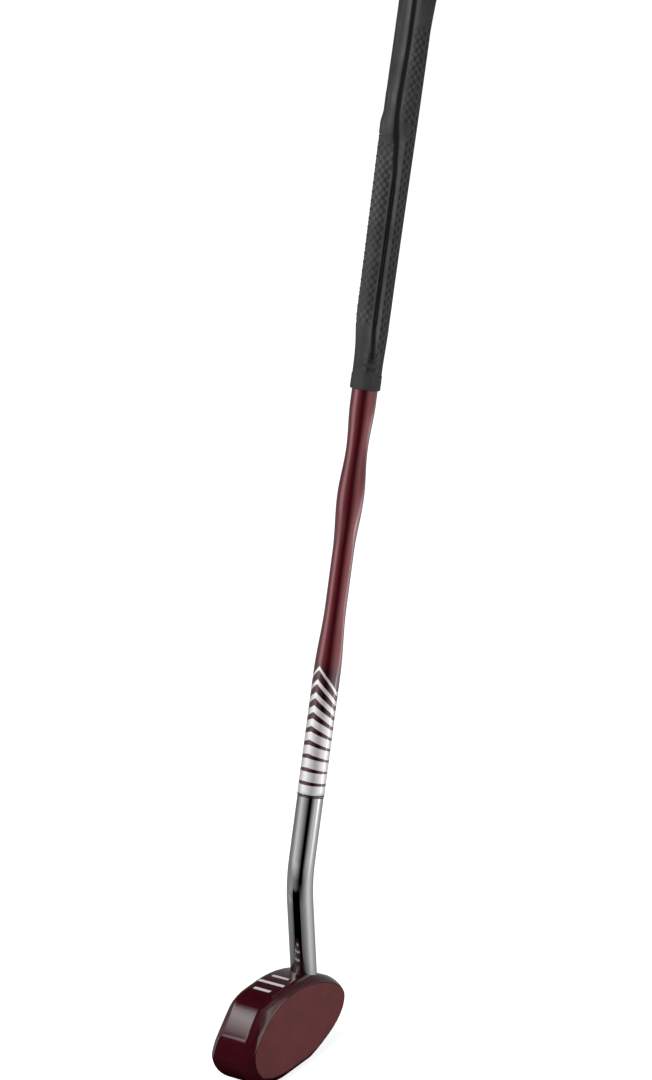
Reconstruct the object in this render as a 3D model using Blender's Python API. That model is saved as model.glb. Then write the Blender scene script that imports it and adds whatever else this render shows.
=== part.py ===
"""Ground golf club: a wooden mallet head on a bent neck tube, a waisted shaft and a rubber grip.

Metres, +Z up.  The origin is the middle of the sole where it rests on the ground.
-X is the toe of the head, +X its heel and the player's side, -Y the side that strikes the ball.
The shaft leans towards the player.  Its stations are measured along its axis from the neck's corner.
"""

import math

import bmesh
import bpy
from mathutils import Vector

# Fits
SEAT_GAP = 0.0003
BORE_CLEARANCE = 0.0003
CUT_OVERRUN = 0.0040

# Head block: how far it reaches from the origin to each side
HEAD_TOE = 0.0650
HEAD_HEEL = 0.0617
HEAD_HEIGHT = 0.0678
HEAD_WAIST_HEIGHT = 0.0330
HEAD_FRONT = 0.0220
HEAD_BACK = 0.0210
CROWN_FLAT = (-0.0190, -0.0060)
SOLE_FLAT = (-0.0200, 0.0200)
TOE_FACET_TOP_SETBACK = 0.0320
TOE_FACET_FOOT_SETBACK = 0.0095
TOE_FACET_DROP = 0.0200
FRONT_BEVEL_DEPTH = 0.0070
BACK_ROUND_START = 0.0060
BACK_ROUND_RADIUS = 0.0060
BACK_ROUND_TURN = math.radians(62.0)
BACK_RIDGE_HALF_HEIGHT = 0.0030
HEAD_FULLNESS = ((1.85, 1.85), (2.35, 1.12), (1.50, 2.00), (1.18, 1.50))

# Face sheet, let into the front of the block: margins in from the block's full outline
SHEET_TOE_MARGIN = 0.0098
SHEET_HEEL_MARGIN = 0.0045
SHEET_CROWN_MARGIN = 0.0046
SHEET_SOLE_MARGIN = 0.0072
SHEET_WAIST_RISE = 0.0017
SHEET_TOP_FLAT = (-0.0120, -0.0020)
SHEET_BOTTOM_FLAT = (-0.0040, 0.0060)
SHEET_FULLNESS = ((1.65, 1.65), (1.55, 1.55), (2.60, 2.60), (1.65, 2.10))
SHEET_THICKNESS = 0.0025
SHEET_PROUD = 0.0004
SHEET_EDGE = 0.0005
FACE_RIM = 0.0012

# Neck tube: an upright foot in the block, one bend, and an end that carries the shaft
NECK_X = 0.0303
NECK_Y = -0.0065
NECK_DIAMETER = 0.0190
NECK_WALL = 0.0014
NECK_FOOT_HEIGHT = 0.0220
NECK_CORNER_HEIGHT = 0.1335
NECK_BEND_RADIUS = 0.1000
NECK_TOP = 0.0625
SHAFT_LEAN = math.radians(18.0)
NECK_PLUG_LENGTH = 0.0100

# Joint between the neck tube and the shaft
JOINT_RING_HEIGHT = 0.0014
JOINT_RING_PROUD = 0.00035
SPIGOT_WALL = 0.0024
SPIGOT_DEPTH = 0.0365
SPIGOT_END_PLAY = 0.0065
SOCKET_DEPTH = 0.0420

# Shaft: radii, and the lengths over which it swells and narrows, from its foot up
SHAFT_FOOT_PROUD = 0.00025
WAIST_RADIUS = 0.00768
SWELL_RADIUS = 0.00963
UPPER_WAIST_RADIUS = 0.00772
COLLAR_RADIUS = 0.00920
HANDLE_RADIUS = 0.00780
STRIPED_LENGTH = 0.0855
LOWER_TAPER_LENGTH = 0.0500
WAIST_LENGTH = 0.0390
SWELL_RISE_LENGTH = 0.0395
SWELL_FALL_LENGTH = 0.0345
COLLAR_RISE_LENGTH = 0.0320
COLLAR_LENGTH = 0.0150
COLLAR_FALL_LENGTH = 0.0200
HANDLE_LENGTH = 0.3000
SHAFT_BORE_RADIUS = 0.00550

# Grip: rubber sleeve over a tape, with a finger pad between two long grooves, and a flared butt
GRIP_COLLAR_OVERLAP = 0.0050
GRIP_EDGE = 0.0005
GRIP_LIP_WALL = 0.00135
GRIP_LIP_HEIGHT = 0.0110
GRIP_LIP_STEP = 0.0015
GRIP_NECK_WALL = 0.00095
GRIP_LOWER_WALL = 0.00210
GRIP_UPPER_WALL = 0.00345
GRIP_NECK_LENGTH = 0.0325
GRIP_TAPER_LENGTH = 0.2150
PAD_HEIGHT = 0.0026
PAD_STEP_HEIGHT = 0.0008
PAD_SETBACK = 0.0250
PAD_RISE_LENGTH = 0.0320
PAD_LENGTH = 0.1300
PAD_STEP_LENGTH = 0.0100
PAD_TAIL_LENGTH = 0.0630
PAD_ANGLE = math.radians(150.0)
PAD_HALF_SPAN = math.radians(70.0)
GROOVE_DEPTH = 0.00125
GROOVE_FOOT_DEPTH = 0.00090
GROOVE_SETBACK = 0.0180
GROOVE_RISE_LENGTH = 0.0070
GROOVE_NARROWING_LENGTH = 0.0200
GROOVE_TURN_LENGTH = 0.0370
GROOVE_FADE_SETBACK = 0.0200
GROOVE_TOP_MARGIN = 0.0120
GROOVE_FOOT_ANGLE = math.radians(74.0)
GROOVE_ANGLE = math.radians(67.0)
GROOVE_STEP_ANGLE = math.radians(48.0)
GROOVE_TOP_ANGLE = math.radians(56.0)
GROOVE_FOOT_HALF_SPAN = math.radians(19.0)
GROOVE_HALF_SPAN = math.radians(12.5)
GROOVE_STEP_HALF_SPAN = math.radians(15.0)
FLARE_LENGTH = 0.0723
FLARE_HEIGHT = 0.0062
FLARE_POWER = 1.3
FLARE_ANGLE = math.radians(-28.0)
FLARE_HALF_SPAN = math.radians(120.0)
TAPE_THICKNESS = 0.0006
TAPE_SETBACK = 0.0097

# Cap that closes the butt end
CAP_THICKNESS = 0.0050
CAP_EDGE = 0.0014
CAP_STEM_LENGTH = 0.0180
CAP_VENT_RADIUS = 0.0010

# Weight in the block, the sole plate below it and the plate's screws
WEIGHT_RADIUS = 0.0070
WEIGHT_LENGTH = 0.0340
WEIGHT_SCREW_WALL = 0.0040
PLATE_SIDE_MARGIN = 0.0012
PLATE_END_MARGIN = 0.0060
PLATE_THICKNESS = 0.0020
PLATE_Y = -0.0045
SCREW_HEAD_RADIUS = 0.0027
SCREW_HEAD_HEIGHT = 0.0015
SCREW_SHANK_RADIUS = 0.0014
SCREW_LENGTH = 0.0130
SCREW_RECESS = 0.0003
SCREW_SLOT_WIDTH = 0.0008
SCREW_SLOT_DEPTH = 0.0007

# Facets
OUTLINE_POINTS = 72
TUBE_POINTS = 32
GRIP_POINTS = 72
SCREW_POINTS = 16
BEND_STEPS = 8
BACK_ROUND_STEPS = 4
BACK_DOME_STEPS = 5
GRIP_BORE_STEPS = 4
CAP_EDGE_STEPS = 3


def clear_scene():
    """Empty the file of objects, so the club stands alone."""
    for item in list(bpy.data.objects):
        bpy.data.objects.remove(item)


def material(name, colour, roughness, metallic=0.0):
    """Plain Principled surface for one sub-part."""
    surface = bpy.data.materials.new(name)
    surface.use_nodes = True
    shader = surface.node_tree.nodes["Principled BSDF"]
    shader.inputs["Base Color"].default_value = (*colour, 1.0)
    shader.inputs["Roughness"].default_value = roughness
    shader.inputs["Metallic"].default_value = metallic
    return surface


def add_object(name, bm, surface=None, parent=None):
    """Turn a bmesh into a named object, on its parent's axis if it has one."""
    bmesh.ops.recalc_face_normals(bm, faces=bm.faces)
    mesh = bpy.data.meshes.new(name)
    bm.to_mesh(mesh)
    bm.free()
    mesh.shade_smooth()
    mesh.set_sharp_from_angle(angle=math.radians(35.0))
    item = bpy.data.objects.new(name, mesh)
    bpy.context.scene.collection.objects.link(item)
    if surface:
        mesh.materials.append(surface)
    if parent:
        item.parent = parent
    return item


def cut(target, cutter):
    """Subtract the cutter's shape from the target and leave the cutter as a guide."""
    cutter.hide_render = True
    cutter.display_type = "WIRE"
    boolean = target.modifiers.new("cut " + cutter.name, "BOOLEAN")
    boolean.operation = "DIFFERENCE"
    boolean.object = cutter


def blend(start, end, share):
    """Ease from start to end as the share goes from 0 to 1."""
    share = min(max(share, 0.0), 1.0)
    return start + (end - start) * (0.5 - 0.5 * math.cos(math.pi * share))


def blended_keys(keys, station):
    """Value at a station between (station, value) keys, eased from key to key."""
    for (low, low_value), (high, high_value) in zip(keys, keys[1:]):
        if station <= high:
            return blend(low_value, high_value, (station - low) / (high - low))
    return keys[-1][1]


def loft(sections, closed=False):
    """Skin a row of closed sections, each a function from a point's number to its place.

    The loops run on to the first section if closed is set, as the wall of a sleeve does;
    otherwise both ends are capped.
    """
    points = sections[0][0]
    bm = bmesh.new()
    first = bmesh.ops.create_circle(bm, segments=points, radius=1.0)["verts"]
    ring = sorted(first, key=lambda v: math.atan2(v.co.y, v.co.x) % (2.0 * math.pi))
    edges = [bm.edges.get((ring[i - 1], ring[i])) for i in range(points)]
    for number, vertex in enumerate(ring):
        vertex.co = sections[0][1](number)
    start_edges = edges
    for _, place in sections[1:]:
        grown = bmesh.ops.extrude_edge_only(bm, edges=edges)["geom"]
        new_edges = {e for e in grown if isinstance(e, bmesh.types.BMEdge)}
        partner = {}
        for vertex in ring:
            for edge in vertex.link_edges:
                other = edge.other_vert(vertex)
                if other in grown and edge not in new_edges:
                    partner[vertex] = other
        ring = [partner[vertex] for vertex in ring]
        for number, vertex in enumerate(ring):
            vertex.co = place(number)
        edges = [bm.edges.get((ring[i - 1], ring[i])) for i in range(points)]
    if closed:
        bmesh.ops.bridge_loops(bm, edges=start_edges + edges)
    else:
        bmesh.ops.holes_fill(bm, edges=bm.edges)
    return bm


def quarter(share, flat_end, tip, level, peak, powers):
    """Point of one quarter of a head outline: flat to flat_end, then a superellipse to the tip."""
    power_x, power_z = powers
    x = flat_end + (tip - flat_end) * math.sin(share) ** (2.0 / power_x)
    z = level + (peak - level) * math.cos(share) ** (2.0 / power_z)
    return x, z


def outline_point(number, toe, heel, top, bottom, level, flats, fullness):
    """Point of a closed head outline seen from the front, from the heel over the crown.

    flats are the ends of the straight crown and sole, and fullness holds each quarter's powers
    along X and Z, both in the order crown heel, crown toe, sole toe, sole heel.
    """
    angle = 2.0 * math.pi * number / OUTLINE_POINTS
    quadrant = min(int(angle / (0.5 * math.pi)), 3)
    inside = angle - quadrant * 0.5 * math.pi
    tip = heel if quadrant in (0, 3) else -toe
    peak = top if quadrant in (0, 1) else bottom
    share = 0.5 * math.pi - inside if quadrant in (0, 2) else inside
    return quarter(share, flats[quadrant], tip, level, peak, fullness[quadrant])


def planed(x, z, inset):
    """Move a point that stands outside the flat toe shoulder onto it."""
    run = TOE_FACET_TOP_SETBACK - TOE_FACET_FOOT_SETBACK
    across_x = -TOE_FACET_DROP / math.hypot(run, TOE_FACET_DROP)
    across_z = run / math.hypot(run, TOE_FACET_DROP)
    from_top_x = x + HEAD_TOE - TOE_FACET_TOP_SETBACK
    outside = from_top_x * across_x + (z - HEAD_HEIGHT) * across_z + inset
    outside = max(outside, 0.0)
    return x - outside * across_x, z - outside * across_z


def head_half_height():
    """Height of the lower of the block's two halves, above and below its waist."""
    return min(HEAD_WAIST_HEIGHT, HEAD_HEIGHT - HEAD_WAIST_HEIGHT)


def head_section(inset, y):
    """Closed section of the block across Y, drawn in from its full outline by inset."""
    keep = 1.0 - inset / head_half_height()
    flats = [end * keep for end in (CROWN_FLAT[1], CROWN_FLAT[0], SOLE_FLAT[0], SOLE_FLAT[1])]

    def place(number):
        x, z = outline_point(number, HEAD_TOE - inset, HEAD_HEEL - inset, HEAD_HEIGHT - inset, inset,
                             HEAD_WAIST_HEIGHT, flats, HEAD_FULLNESS)
        x, z = planed(x, z, inset)
        return Vector((x, y, z))

    return OUTLINE_POINTS, place


def sheet_section(offset, y):
    """Closed section with the face sheet's outline, grown by offset."""
    flats = (SHEET_TOP_FLAT[1], SHEET_TOP_FLAT[0], SHEET_BOTTOM_FLAT[0], SHEET_BOTTOM_FLAT[1])
    toe = HEAD_TOE - SHEET_TOE_MARGIN + offset
    heel = HEAD_HEEL - SHEET_HEEL_MARGIN + offset
    top = HEAD_HEIGHT - SHEET_CROWN_MARGIN + offset
    bottom = SHEET_SOLE_MARGIN - offset
    waist = HEAD_WAIST_HEIGHT + SHEET_WAIST_RISE

    def place(number):
        x, z = outline_point(number, toe, heel, top, bottom, waist, flats, SHEET_FULLNESS)
        return Vector((x, y, z))

    return OUTLINE_POINTS, place


def turned(profile, steps=TUBE_POINTS):
    """Spin a profile of (radius, height) points about Z into a solid.

    A profile that starts or ends on the axis closes there; one that doesn't is a ring.
    """
    bm = bmesh.new()
    chain = [bm.verts.new((radius, 0.0, height)) for radius, height in profile]
    on_axis = profile[0][0] == 0.0 and profile[-1][0] == 0.0
    pairs = list(zip(chain, chain[1:]))
    if not on_axis:
        pairs.append((chain[-1], chain[0]))
    edges = [bm.edges.new(pair) for pair in pairs]
    bmesh.ops.spin(bm, geom=chain + edges, cent=(0.0, 0.0, 0.0), axis=(0.0, 0.0, 1.0),
                   angle=2.0 * math.pi, steps=steps, use_merge=True)
    bmesh.ops.remove_doubles(bm, verts=bm.verts, dist=0.00001)
    return bm


def rod(radius, bottom, top, steps=TUBE_POINTS):
    """Solid round rod along Z between two heights."""
    return turned([(0.0, top), (radius, top), (radius, bottom), (0.0, bottom)], steps)


def move(bm, x, y, z):
    """Shift a whole bmesh."""
    bmesh.ops.translate(bm, verts=bm.verts, vec=(x, y, z))
    return bm


def neck_bend_length():
    """Straight run that the bend takes from each side of the neck's corner."""
    return NECK_BEND_RADIUS * math.tan(0.5 * SHAFT_LEAN)


def neck_bore_radius():
    """Radius of the neck tube's bore."""
    return 0.5 * NECK_DIAMETER - NECK_WALL


def spigot_radius():
    """Outer radius of the spigot, which slides into the neck tube."""
    return neck_bore_radius() - BORE_CLEARANCE


def joint_ring_bottom():
    """Station of the joint ring's lower face, seated on the neck tube."""
    return NECK_TOP + SEAT_GAP


def shaft_bottom():
    """Station of the shaft's lower end, seated on the joint ring."""
    return joint_ring_bottom() + JOINT_RING_HEIGHT + SEAT_GAP


def socket_top():
    """Station of the bottom of the shaft's socket for the spigot."""
    return shaft_bottom() + SOCKET_DEPTH


def shaft_stretches():
    """Length, radius at the upper end and number of steps of each stretch of the shaft, from its foot up."""
    foot_radius = 0.5 * NECK_DIAMETER + SHAFT_FOOT_PROUD
    return (
        (0.0, foot_radius, 1),
        (STRIPED_LENGTH, foot_radius, 1),
        (LOWER_TAPER_LENGTH, WAIST_RADIUS, 6),
        (WAIST_LENGTH, WAIST_RADIUS, 1),
        (SWELL_RISE_LENGTH, SWELL_RADIUS, 6),
        (SWELL_FALL_LENGTH, UPPER_WAIST_RADIUS, 6),
        (COLLAR_RISE_LENGTH, COLLAR_RADIUS, 6),
        (COLLAR_LENGTH, COLLAR_RADIUS, 1),
        (COLLAR_FALL_LENGTH, HANDLE_RADIUS, 4),
        (HANDLE_LENGTH, HANDLE_RADIUS, 1),
    )


def shaft_keys():
    """Station and radius of the shaft at the end of each stretch."""
    station = shaft_bottom()
    keys = []
    for length, radius, _ in shaft_stretches():
        station += length
        keys.append((station, radius))
    return keys


def shaft_radius(station):
    """Outer radius of the shaft: striped length, waist, swell, waist, collar and handle core."""
    return blended_keys(shaft_keys(), station)


def shaft_stations():
    """Stations of the shaft's outer profile, close where it swells and far apart where it is straight."""
    keys = shaft_keys()
    stations = [keys[0][0]]
    for (low, _), (high, _), (_, _, count) in zip(keys, keys[1:], shaft_stretches()[1:]):
        stations += [low + (high - low) * (i + 1) / count for i in range(count)]
    return stations


def shaft_top():
    """Station of the shaft's upper end."""
    return shaft_keys()[-1][0]


def handle_bottom():
    """Station where the straight handle core starts, above the collar."""
    return shaft_top() - HANDLE_LENGTH


def collar_top():
    """Station where the shaft starts to narrow from its collar to the handle core."""
    return handle_bottom() - COLLAR_FALL_LENGTH


def tape_bottom():
    """Station where the grip tape starts, on the straight handle core."""
    return handle_bottom() + SEAT_GAP


def tape_radius():
    """Outer radius of the grip tape."""
    return HANDLE_RADIUS + BORE_CLEARANCE + TAPE_THICKNESS


def grip_bottom():
    """Station of the grip's lower end, over the shaft's collar."""
    return collar_top() - GRIP_COLLAR_OVERLAP


def grip_top():
    """Station of the grip's upper end, just under the butt cap."""
    return shaft_top() + SEAT_GAP


def collar_bore():
    """Radius of the grip's bore round the shaft's collar."""
    return COLLAR_RADIUS + BORE_CLEARANCE


def tape_bore():
    """Radius of the grip's bore round the tape."""
    return tape_radius() + BORE_CLEARANCE


def grip_base_radius(station):
    """Grip radius round the sleeve, without its pad and flare."""
    lip_top = grip_bottom() + GRIP_LIP_HEIGHT
    neck = lip_top + GRIP_LIP_STEP
    lower = neck + GRIP_NECK_LENGTH
    keys = (
        (grip_bottom(), collar_bore() + GRIP_LIP_WALL),
        (lip_top, collar_bore() + GRIP_LIP_WALL),
        (neck, collar_bore() + GRIP_NECK_WALL),
        (lower, tape_bore() + GRIP_LOWER_WALL),
        (lower + GRIP_TAPER_LENGTH, tape_bore() + GRIP_UPPER_WALL),
    )
    return blended_keys(keys, station)


def pad_keys():
    """Station and height of the finger pad where it starts, is full, ends, has stepped down and is gone."""
    start = grip_bottom() + PAD_SETBACK
    full = start + PAD_RISE_LENGTH
    end = full + PAD_LENGTH
    step = end + PAD_STEP_LENGTH
    return (
        (start, 0.0),
        (full, PAD_HEIGHT),
        (end, PAD_HEIGHT),
        (step, PAD_STEP_HEIGHT),
        (step + PAD_TAIL_LENGTH, 0.0),
    )


def groove_depth(station):
    """Depth of the two long grooves at a station."""
    foot = grip_bottom() + GROOVE_SETBACK
    open_foot = foot + GROOVE_RISE_LENGTH
    keys = (
        (foot, 0.0),
        (open_foot, GROOVE_FOOT_DEPTH),
        (open_foot + GROOVE_NARROWING_LENGTH, GROOVE_DEPTH),
        (flare_start() + GROOVE_FADE_SETBACK, GROOVE_DEPTH),
        (grip_top() - GROOVE_TOP_MARGIN, 0.0),
    )
    return blended_keys(keys, max(station, foot))


def groove_middle(station):
    """Angle and half span of a groove, measured round the grip from the pad's middle."""
    open_foot = grip_bottom() + GROOVE_SETBACK + GROOVE_RISE_LENGTH
    _, _, (pad_end, _), (pad_step, _), _ = pad_keys()
    stations = (
        open_foot,
        open_foot + GROOVE_NARROWING_LENGTH,
        pad_end - GROOVE_TURN_LENGTH,
        pad_step,
        flare_start(),
    )
    angles = (GROOVE_FOOT_ANGLE, GROOVE_ANGLE, GROOVE_ANGLE, GROOVE_STEP_ANGLE, GROOVE_TOP_ANGLE)
    spans = (GROOVE_FOOT_HALF_SPAN, GROOVE_HALF_SPAN, GROOVE_HALF_SPAN, GROOVE_STEP_HALF_SPAN,
             GROOVE_HALF_SPAN)
    held = max(station, open_foot)
    return blended_keys(tuple(zip(stations, angles)), held), blended_keys(tuple(zip(stations, spans)), held)


def groove(angle, station):
    """How far the grooves sink in at an angle and a station."""
    middle, half_span = groove_middle(station)
    away = abs((angle - PAD_ANGLE + math.pi) % (2.0 * math.pi) - math.pi)
    return groove_depth(station) * blend(1.0, 0.0, abs(away - middle) / half_span)


def flare_start():
    """Station where the butt starts to swing out."""
    return grip_top() - FLARE_LENGTH


def flare_height(station):
    """How far the butt has swung out towards the player at a station."""
    share = max(station - flare_start(), 0.0) / FLARE_LENGTH
    return FLARE_HEIGHT * share ** FLARE_POWER


def around(angle, middle, half_span):
    """Weight of a swelling round the grip: 1 at its middle and 0 at half_span away."""
    away = abs((angle - middle + math.pi) % (2.0 * math.pi) - math.pi)
    return blend(1.0, 0.0, away / half_span)


def grip_section(station, inset=0.0):
    """Closed outer section of the grip at a station, drawn in by inset."""
    def place(number):
        angle = 2.0 * math.pi * number / GRIP_POINTS
        radius = grip_base_radius(station) - inset
        radius += blended_keys(pad_keys(), station) * around(angle, PAD_ANGLE, PAD_HALF_SPAN)
        radius += flare_height(station) * around(angle, FLARE_ANGLE, FLARE_HALF_SPAN)
        radius -= groove(angle, station)
        return Vector((radius * math.cos(angle), radius * math.sin(angle), station))

    return GRIP_POINTS, place


def bore_section(radius, station):
    """Round section of the grip's bore."""
    def place(number):
        angle = 2.0 * math.pi * number / GRIP_POINTS
        return Vector((radius * math.cos(angle), radius * math.sin(angle), station))

    return GRIP_POINTS, place


def make_head_block():
    """Wooden mallet head with its face recess, neck bore, sole recess and weight bore."""
    wood = material("lacquered_wood", (0.055, 0.006, 0.010), 0.12)
    sections = [
        sheet_section(FACE_RIM, -HEAD_FRONT),
        head_section(0.0, -HEAD_FRONT + FRONT_BEVEL_DEPTH),
        head_section(0.0, BACK_ROUND_START),
    ]
    for step in range(BACK_ROUND_STEPS):
        turn = BACK_ROUND_TURN * (step + 1) / BACK_ROUND_STEPS
        inset = BACK_ROUND_RADIUS * (1.0 - math.cos(turn))
        y = BACK_ROUND_START + BACK_ROUND_RADIUS * math.sin(turn)
        sections.append(head_section(inset, y))
    dome_edge, dome_foot = inset, y
    dome_run = head_half_height() - BACK_RIDGE_HALF_HEIGHT - dome_edge
    for step in range(BACK_DOME_STEPS):
        share = (step + 1) / BACK_DOME_STEPS
        climb = 1.0 - (1.0 - share) ** 2
        y = dome_foot + (HEAD_BACK - dome_foot) * climb
        sections.append(head_section(dome_edge + dome_run * share, y))
    block = add_object("head_block", loft(sections), wood)

    recess_back = -HEAD_FRONT - SHEET_PROUD + SHEET_THICKNESS + SEAT_GAP
    recess = [
        sheet_section(SEAT_GAP, -HEAD_FRONT - CUT_OVERRUN),
        sheet_section(SEAT_GAP, recess_back),
    ]
    cut(block, add_object("face_recess_cutter", loft(recess)))

    neck_radius = 0.5 * NECK_DIAMETER + BORE_CLEARANCE
    neck_bore = rod(neck_radius, NECK_FOOT_HEIGHT - SEAT_GAP, HEAD_HEIGHT + CUT_OVERRUN)
    cut(block, add_object("neck_bore_cutter", move(neck_bore, NECK_X, NECK_Y, 0.0)))

    plate_recess = plate_solid(SEAT_GAP, -CUT_OVERRUN, PLATE_THICKNESS + SEAT_GAP)
    cut(block, add_object("plate_recess_cutter", plate_recess))

    weight_bore = rod(WEIGHT_RADIUS + BORE_CLEARANCE, 0.0, weight_bottom() + WEIGHT_LENGTH + SEAT_GAP)
    cut(block, add_object("weight_bore_cutter", move(weight_bore, 0.0, PLATE_Y, 0.0)))

    for name, x in screw_places():
        hole_roof = SCREW_RECESS + SCREW_LENGTH + SEAT_GAP
        hole = rod(SCREW_SHANK_RADIUS + BORE_CLEARANCE, 0.0, hole_roof, SCREW_POINTS)
        cut(block, add_object("screw_hole_cutter_" + name, move(hole, x, PLATE_Y, 0.0)))
    return block


def make_face_sheet():
    """Matt striking sheet, flat, with a small chamfer round its front edge."""
    surface = material("face_fibre", (0.105, 0.040, 0.034), 0.75)
    front = -HEAD_FRONT - SHEET_PROUD
    sections = [
        sheet_section(-SHEET_EDGE, front),
        sheet_section(0.0, front + SHEET_EDGE),
        sheet_section(0.0, front + SHEET_THICKNESS),
    ]
    return add_object("face_sheet", loft(sections), surface)


def plate_solid(clearance, bottom, top):
    """Sole plate outline, a slot shape along X, as a solid between two heights."""
    half_width = WEIGHT_RADIUS + BORE_CLEARANCE + PLATE_SIDE_MARGIN
    centre = screw_distance() + PLATE_END_MARGIN - half_width
    radius = half_width + clearance

    def section(z):
        def place(number):
            angle = 2.0 * math.pi * (number + 0.5) / TUBE_POINTS
            side = centre if math.cos(angle) > 0.0 else -centre
            return Vector((side + radius * math.cos(angle), PLATE_Y + radius * math.sin(angle), z))
        return TUBE_POINTS, place

    return loft([section(bottom), section(top)])


def screw_distance():
    """How far each sole screw stands from the weight's axis, with a wall of wood between them."""
    return WEIGHT_RADIUS + BORE_CLEARANCE + WEIGHT_SCREW_WALL + BORE_CLEARANCE + SCREW_SHANK_RADIUS


def screw_places():
    """Name and X place of each sole screw."""
    return (("toe", -screw_distance()), ("heel", screw_distance()))


def make_sole_plate():
    """Brass sole plate, flush with the sole, with countersunk holes."""
    brass = material("sole_brass", (0.55, 0.38, 0.16), 0.32, 1.0)
    plate = add_object("sole_plate", plate_solid(0.0, 0.0, PLATE_THICKNESS), brass)
    for name, x in screw_places():
        head = SCREW_HEAD_RADIUS + BORE_CLEARANCE
        shank = SCREW_SHANK_RADIUS + BORE_CLEARANCE
        cone_top = SCREW_RECESS + SCREW_HEAD_HEIGHT
        above = PLATE_THICKNESS + CUT_OVERRUN
        hole = turned([(0.0, above), (shank, above), (shank, cone_top), (head, SCREW_RECESS),
                       (head, -CUT_OVERRUN), (0.0, -CUT_OVERRUN)], SCREW_POINTS)
        cut(plate, add_object("countersink_cutter_" + name, move(hole, x, PLATE_Y, 0.0)))
    return plate


def make_sole_screws():
    """Slotted countersunk screws that hold the plate, heads in its countersinks."""
    steel = material("screw_steel", (0.62, 0.60, 0.56), 0.30, 1.0)
    cone_top = SCREW_RECESS + SCREW_HEAD_HEIGHT
    tip = SCREW_RECESS + SCREW_LENGTH
    profile = [
        (0.0, tip),
        (0.5 * SCREW_SHANK_RADIUS, tip),
        (SCREW_SHANK_RADIUS, tip - SCREW_HEAD_HEIGHT),
        (SCREW_SHANK_RADIUS, cone_top),
        (SCREW_HEAD_RADIUS, SCREW_RECESS),
        (0.0, SCREW_RECESS),
    ]
    for name, x in screw_places():
        screw = add_object("sole_screw_" + name, move(turned(profile, SCREW_POINTS), x, PLATE_Y, 0.0), steel)
        slot = bmesh.new()
        bmesh.ops.create_cube(slot, size=1.0)
        size = (SCREW_SLOT_WIDTH, 4.0 * SCREW_HEAD_RADIUS, 2.0 * SCREW_SLOT_DEPTH)
        bmesh.ops.scale(slot, verts=slot.verts, vec=size)
        cut(screw, add_object("slot_cutter_" + name, move(slot, x, PLATE_Y, SCREW_RECESS)))


def weight_bottom():
    """Height of the weight's foot, seated on the sole plate."""
    return PLATE_THICKNESS + SEAT_GAP


def make_head_weight():
    """Steel slug in the block, above the sole plate."""
    steel = material("weight_steel", (0.32, 0.32, 0.33), 0.45, 1.0)
    slug = rod(WEIGHT_RADIUS, weight_bottom(), weight_bottom() + WEIGHT_LENGTH)
    return add_object("head_weight", move(slug, 0.0, PLATE_Y, 0.0), steel)


def neck_section(radius, place_on_path):
    """Round section of the neck tube: place_on_path is its centre and its tilt towards the player."""
    centre, tilt = place_on_path
    across = Vector((math.cos(tilt), 0.0, -math.sin(tilt)))
    back = Vector((0.0, 1.0, 0.0))

    def place(number):
        angle = 2.0 * math.pi * number / TUBE_POINTS
        return centre + radius * (math.cos(angle) * across + math.sin(angle) * back)

    return TUBE_POINTS, place


def neck_path():
    """Centres and tilts of the neck tube's sections: upright foot, bend, straight end."""
    bend_start = NECK_CORNER_HEIGHT - neck_bend_length()
    path = [(Vector((NECK_X, NECK_Y, NECK_FOOT_HEIGHT)), 0.0)]
    for step in range(BEND_STEPS + 1):
        tilt = SHAFT_LEAN * step / BEND_STEPS
        swing = NECK_BEND_RADIUS * (1.0 - math.cos(tilt))
        climb = NECK_BEND_RADIUS * math.sin(tilt)
        path.append((Vector((NECK_X + swing, NECK_Y, bend_start + climb)), tilt))
    end = Vector((NECK_X, NECK_Y, NECK_CORNER_HEIGHT))
    end += NECK_TOP * Vector((math.sin(SHAFT_LEAN), 0.0, math.cos(SHAFT_LEAN)))
    path.append((end, SHAFT_LEAN))
    return path


def make_neck_tube():
    """Plated tube: upright foot, bend towards the player, and the end that takes the spigot."""
    chrome = material("neck_chrome", (0.62, 0.62, 0.64), 0.06, 1.0)
    path = neck_path()
    sections = [neck_section(0.5 * NECK_DIAMETER, stop) for stop in path]
    sections += [neck_section(neck_bore_radius(), stop) for stop in reversed(path)]
    return add_object("neck_tube", loft(sections, closed=True), chrome)


def make_neck_plug():
    """Plug that closes the foot of the neck tube."""
    rubber = material("plug_rubber", (0.030, 0.030, 0.032), 0.70)
    radius = neck_bore_radius() - BORE_CLEARANCE
    plug = rod(radius, NECK_FOOT_HEIGHT, NECK_FOOT_HEIGHT + NECK_PLUG_LENGTH)
    return add_object("neck_plug", move(plug, NECK_X, NECK_Y, 0.0), rubber)


def make_joint_ring(axis):
    """Dark ring between the plated tube and the lacquered shaft."""
    lacquer = material("ring_lacquer", (0.045, 0.006, 0.010), 0.15)
    bottom = joint_ring_bottom()
    top = bottom + JOINT_RING_HEIGHT
    outer = 0.5 * NECK_DIAMETER + JOINT_RING_PROUD
    inner = spigot_radius() + BORE_CLEARANCE
    ring = turned([(inner, top), (outer, top), (outer, bottom), (inner, bottom)])
    return add_object("joint_ring", ring, lacquer, axis)


def make_joint_spigot(axis):
    """Aluminium sleeve inside the neck tube and the shaft that joins the two."""
    aluminium = material("spigot_aluminium", (0.60, 0.61, 0.62), 0.35, 1.0)
    outer = spigot_radius()
    inner = outer - SPIGOT_WALL
    top = socket_top() - SPIGOT_END_PLAY
    foot = NECK_TOP - SPIGOT_DEPTH
    sleeve = turned([(inner, top), (outer, top), (outer, foot), (inner, foot)])
    return add_object("joint_spigot", sleeve, aluminium, axis)


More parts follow.
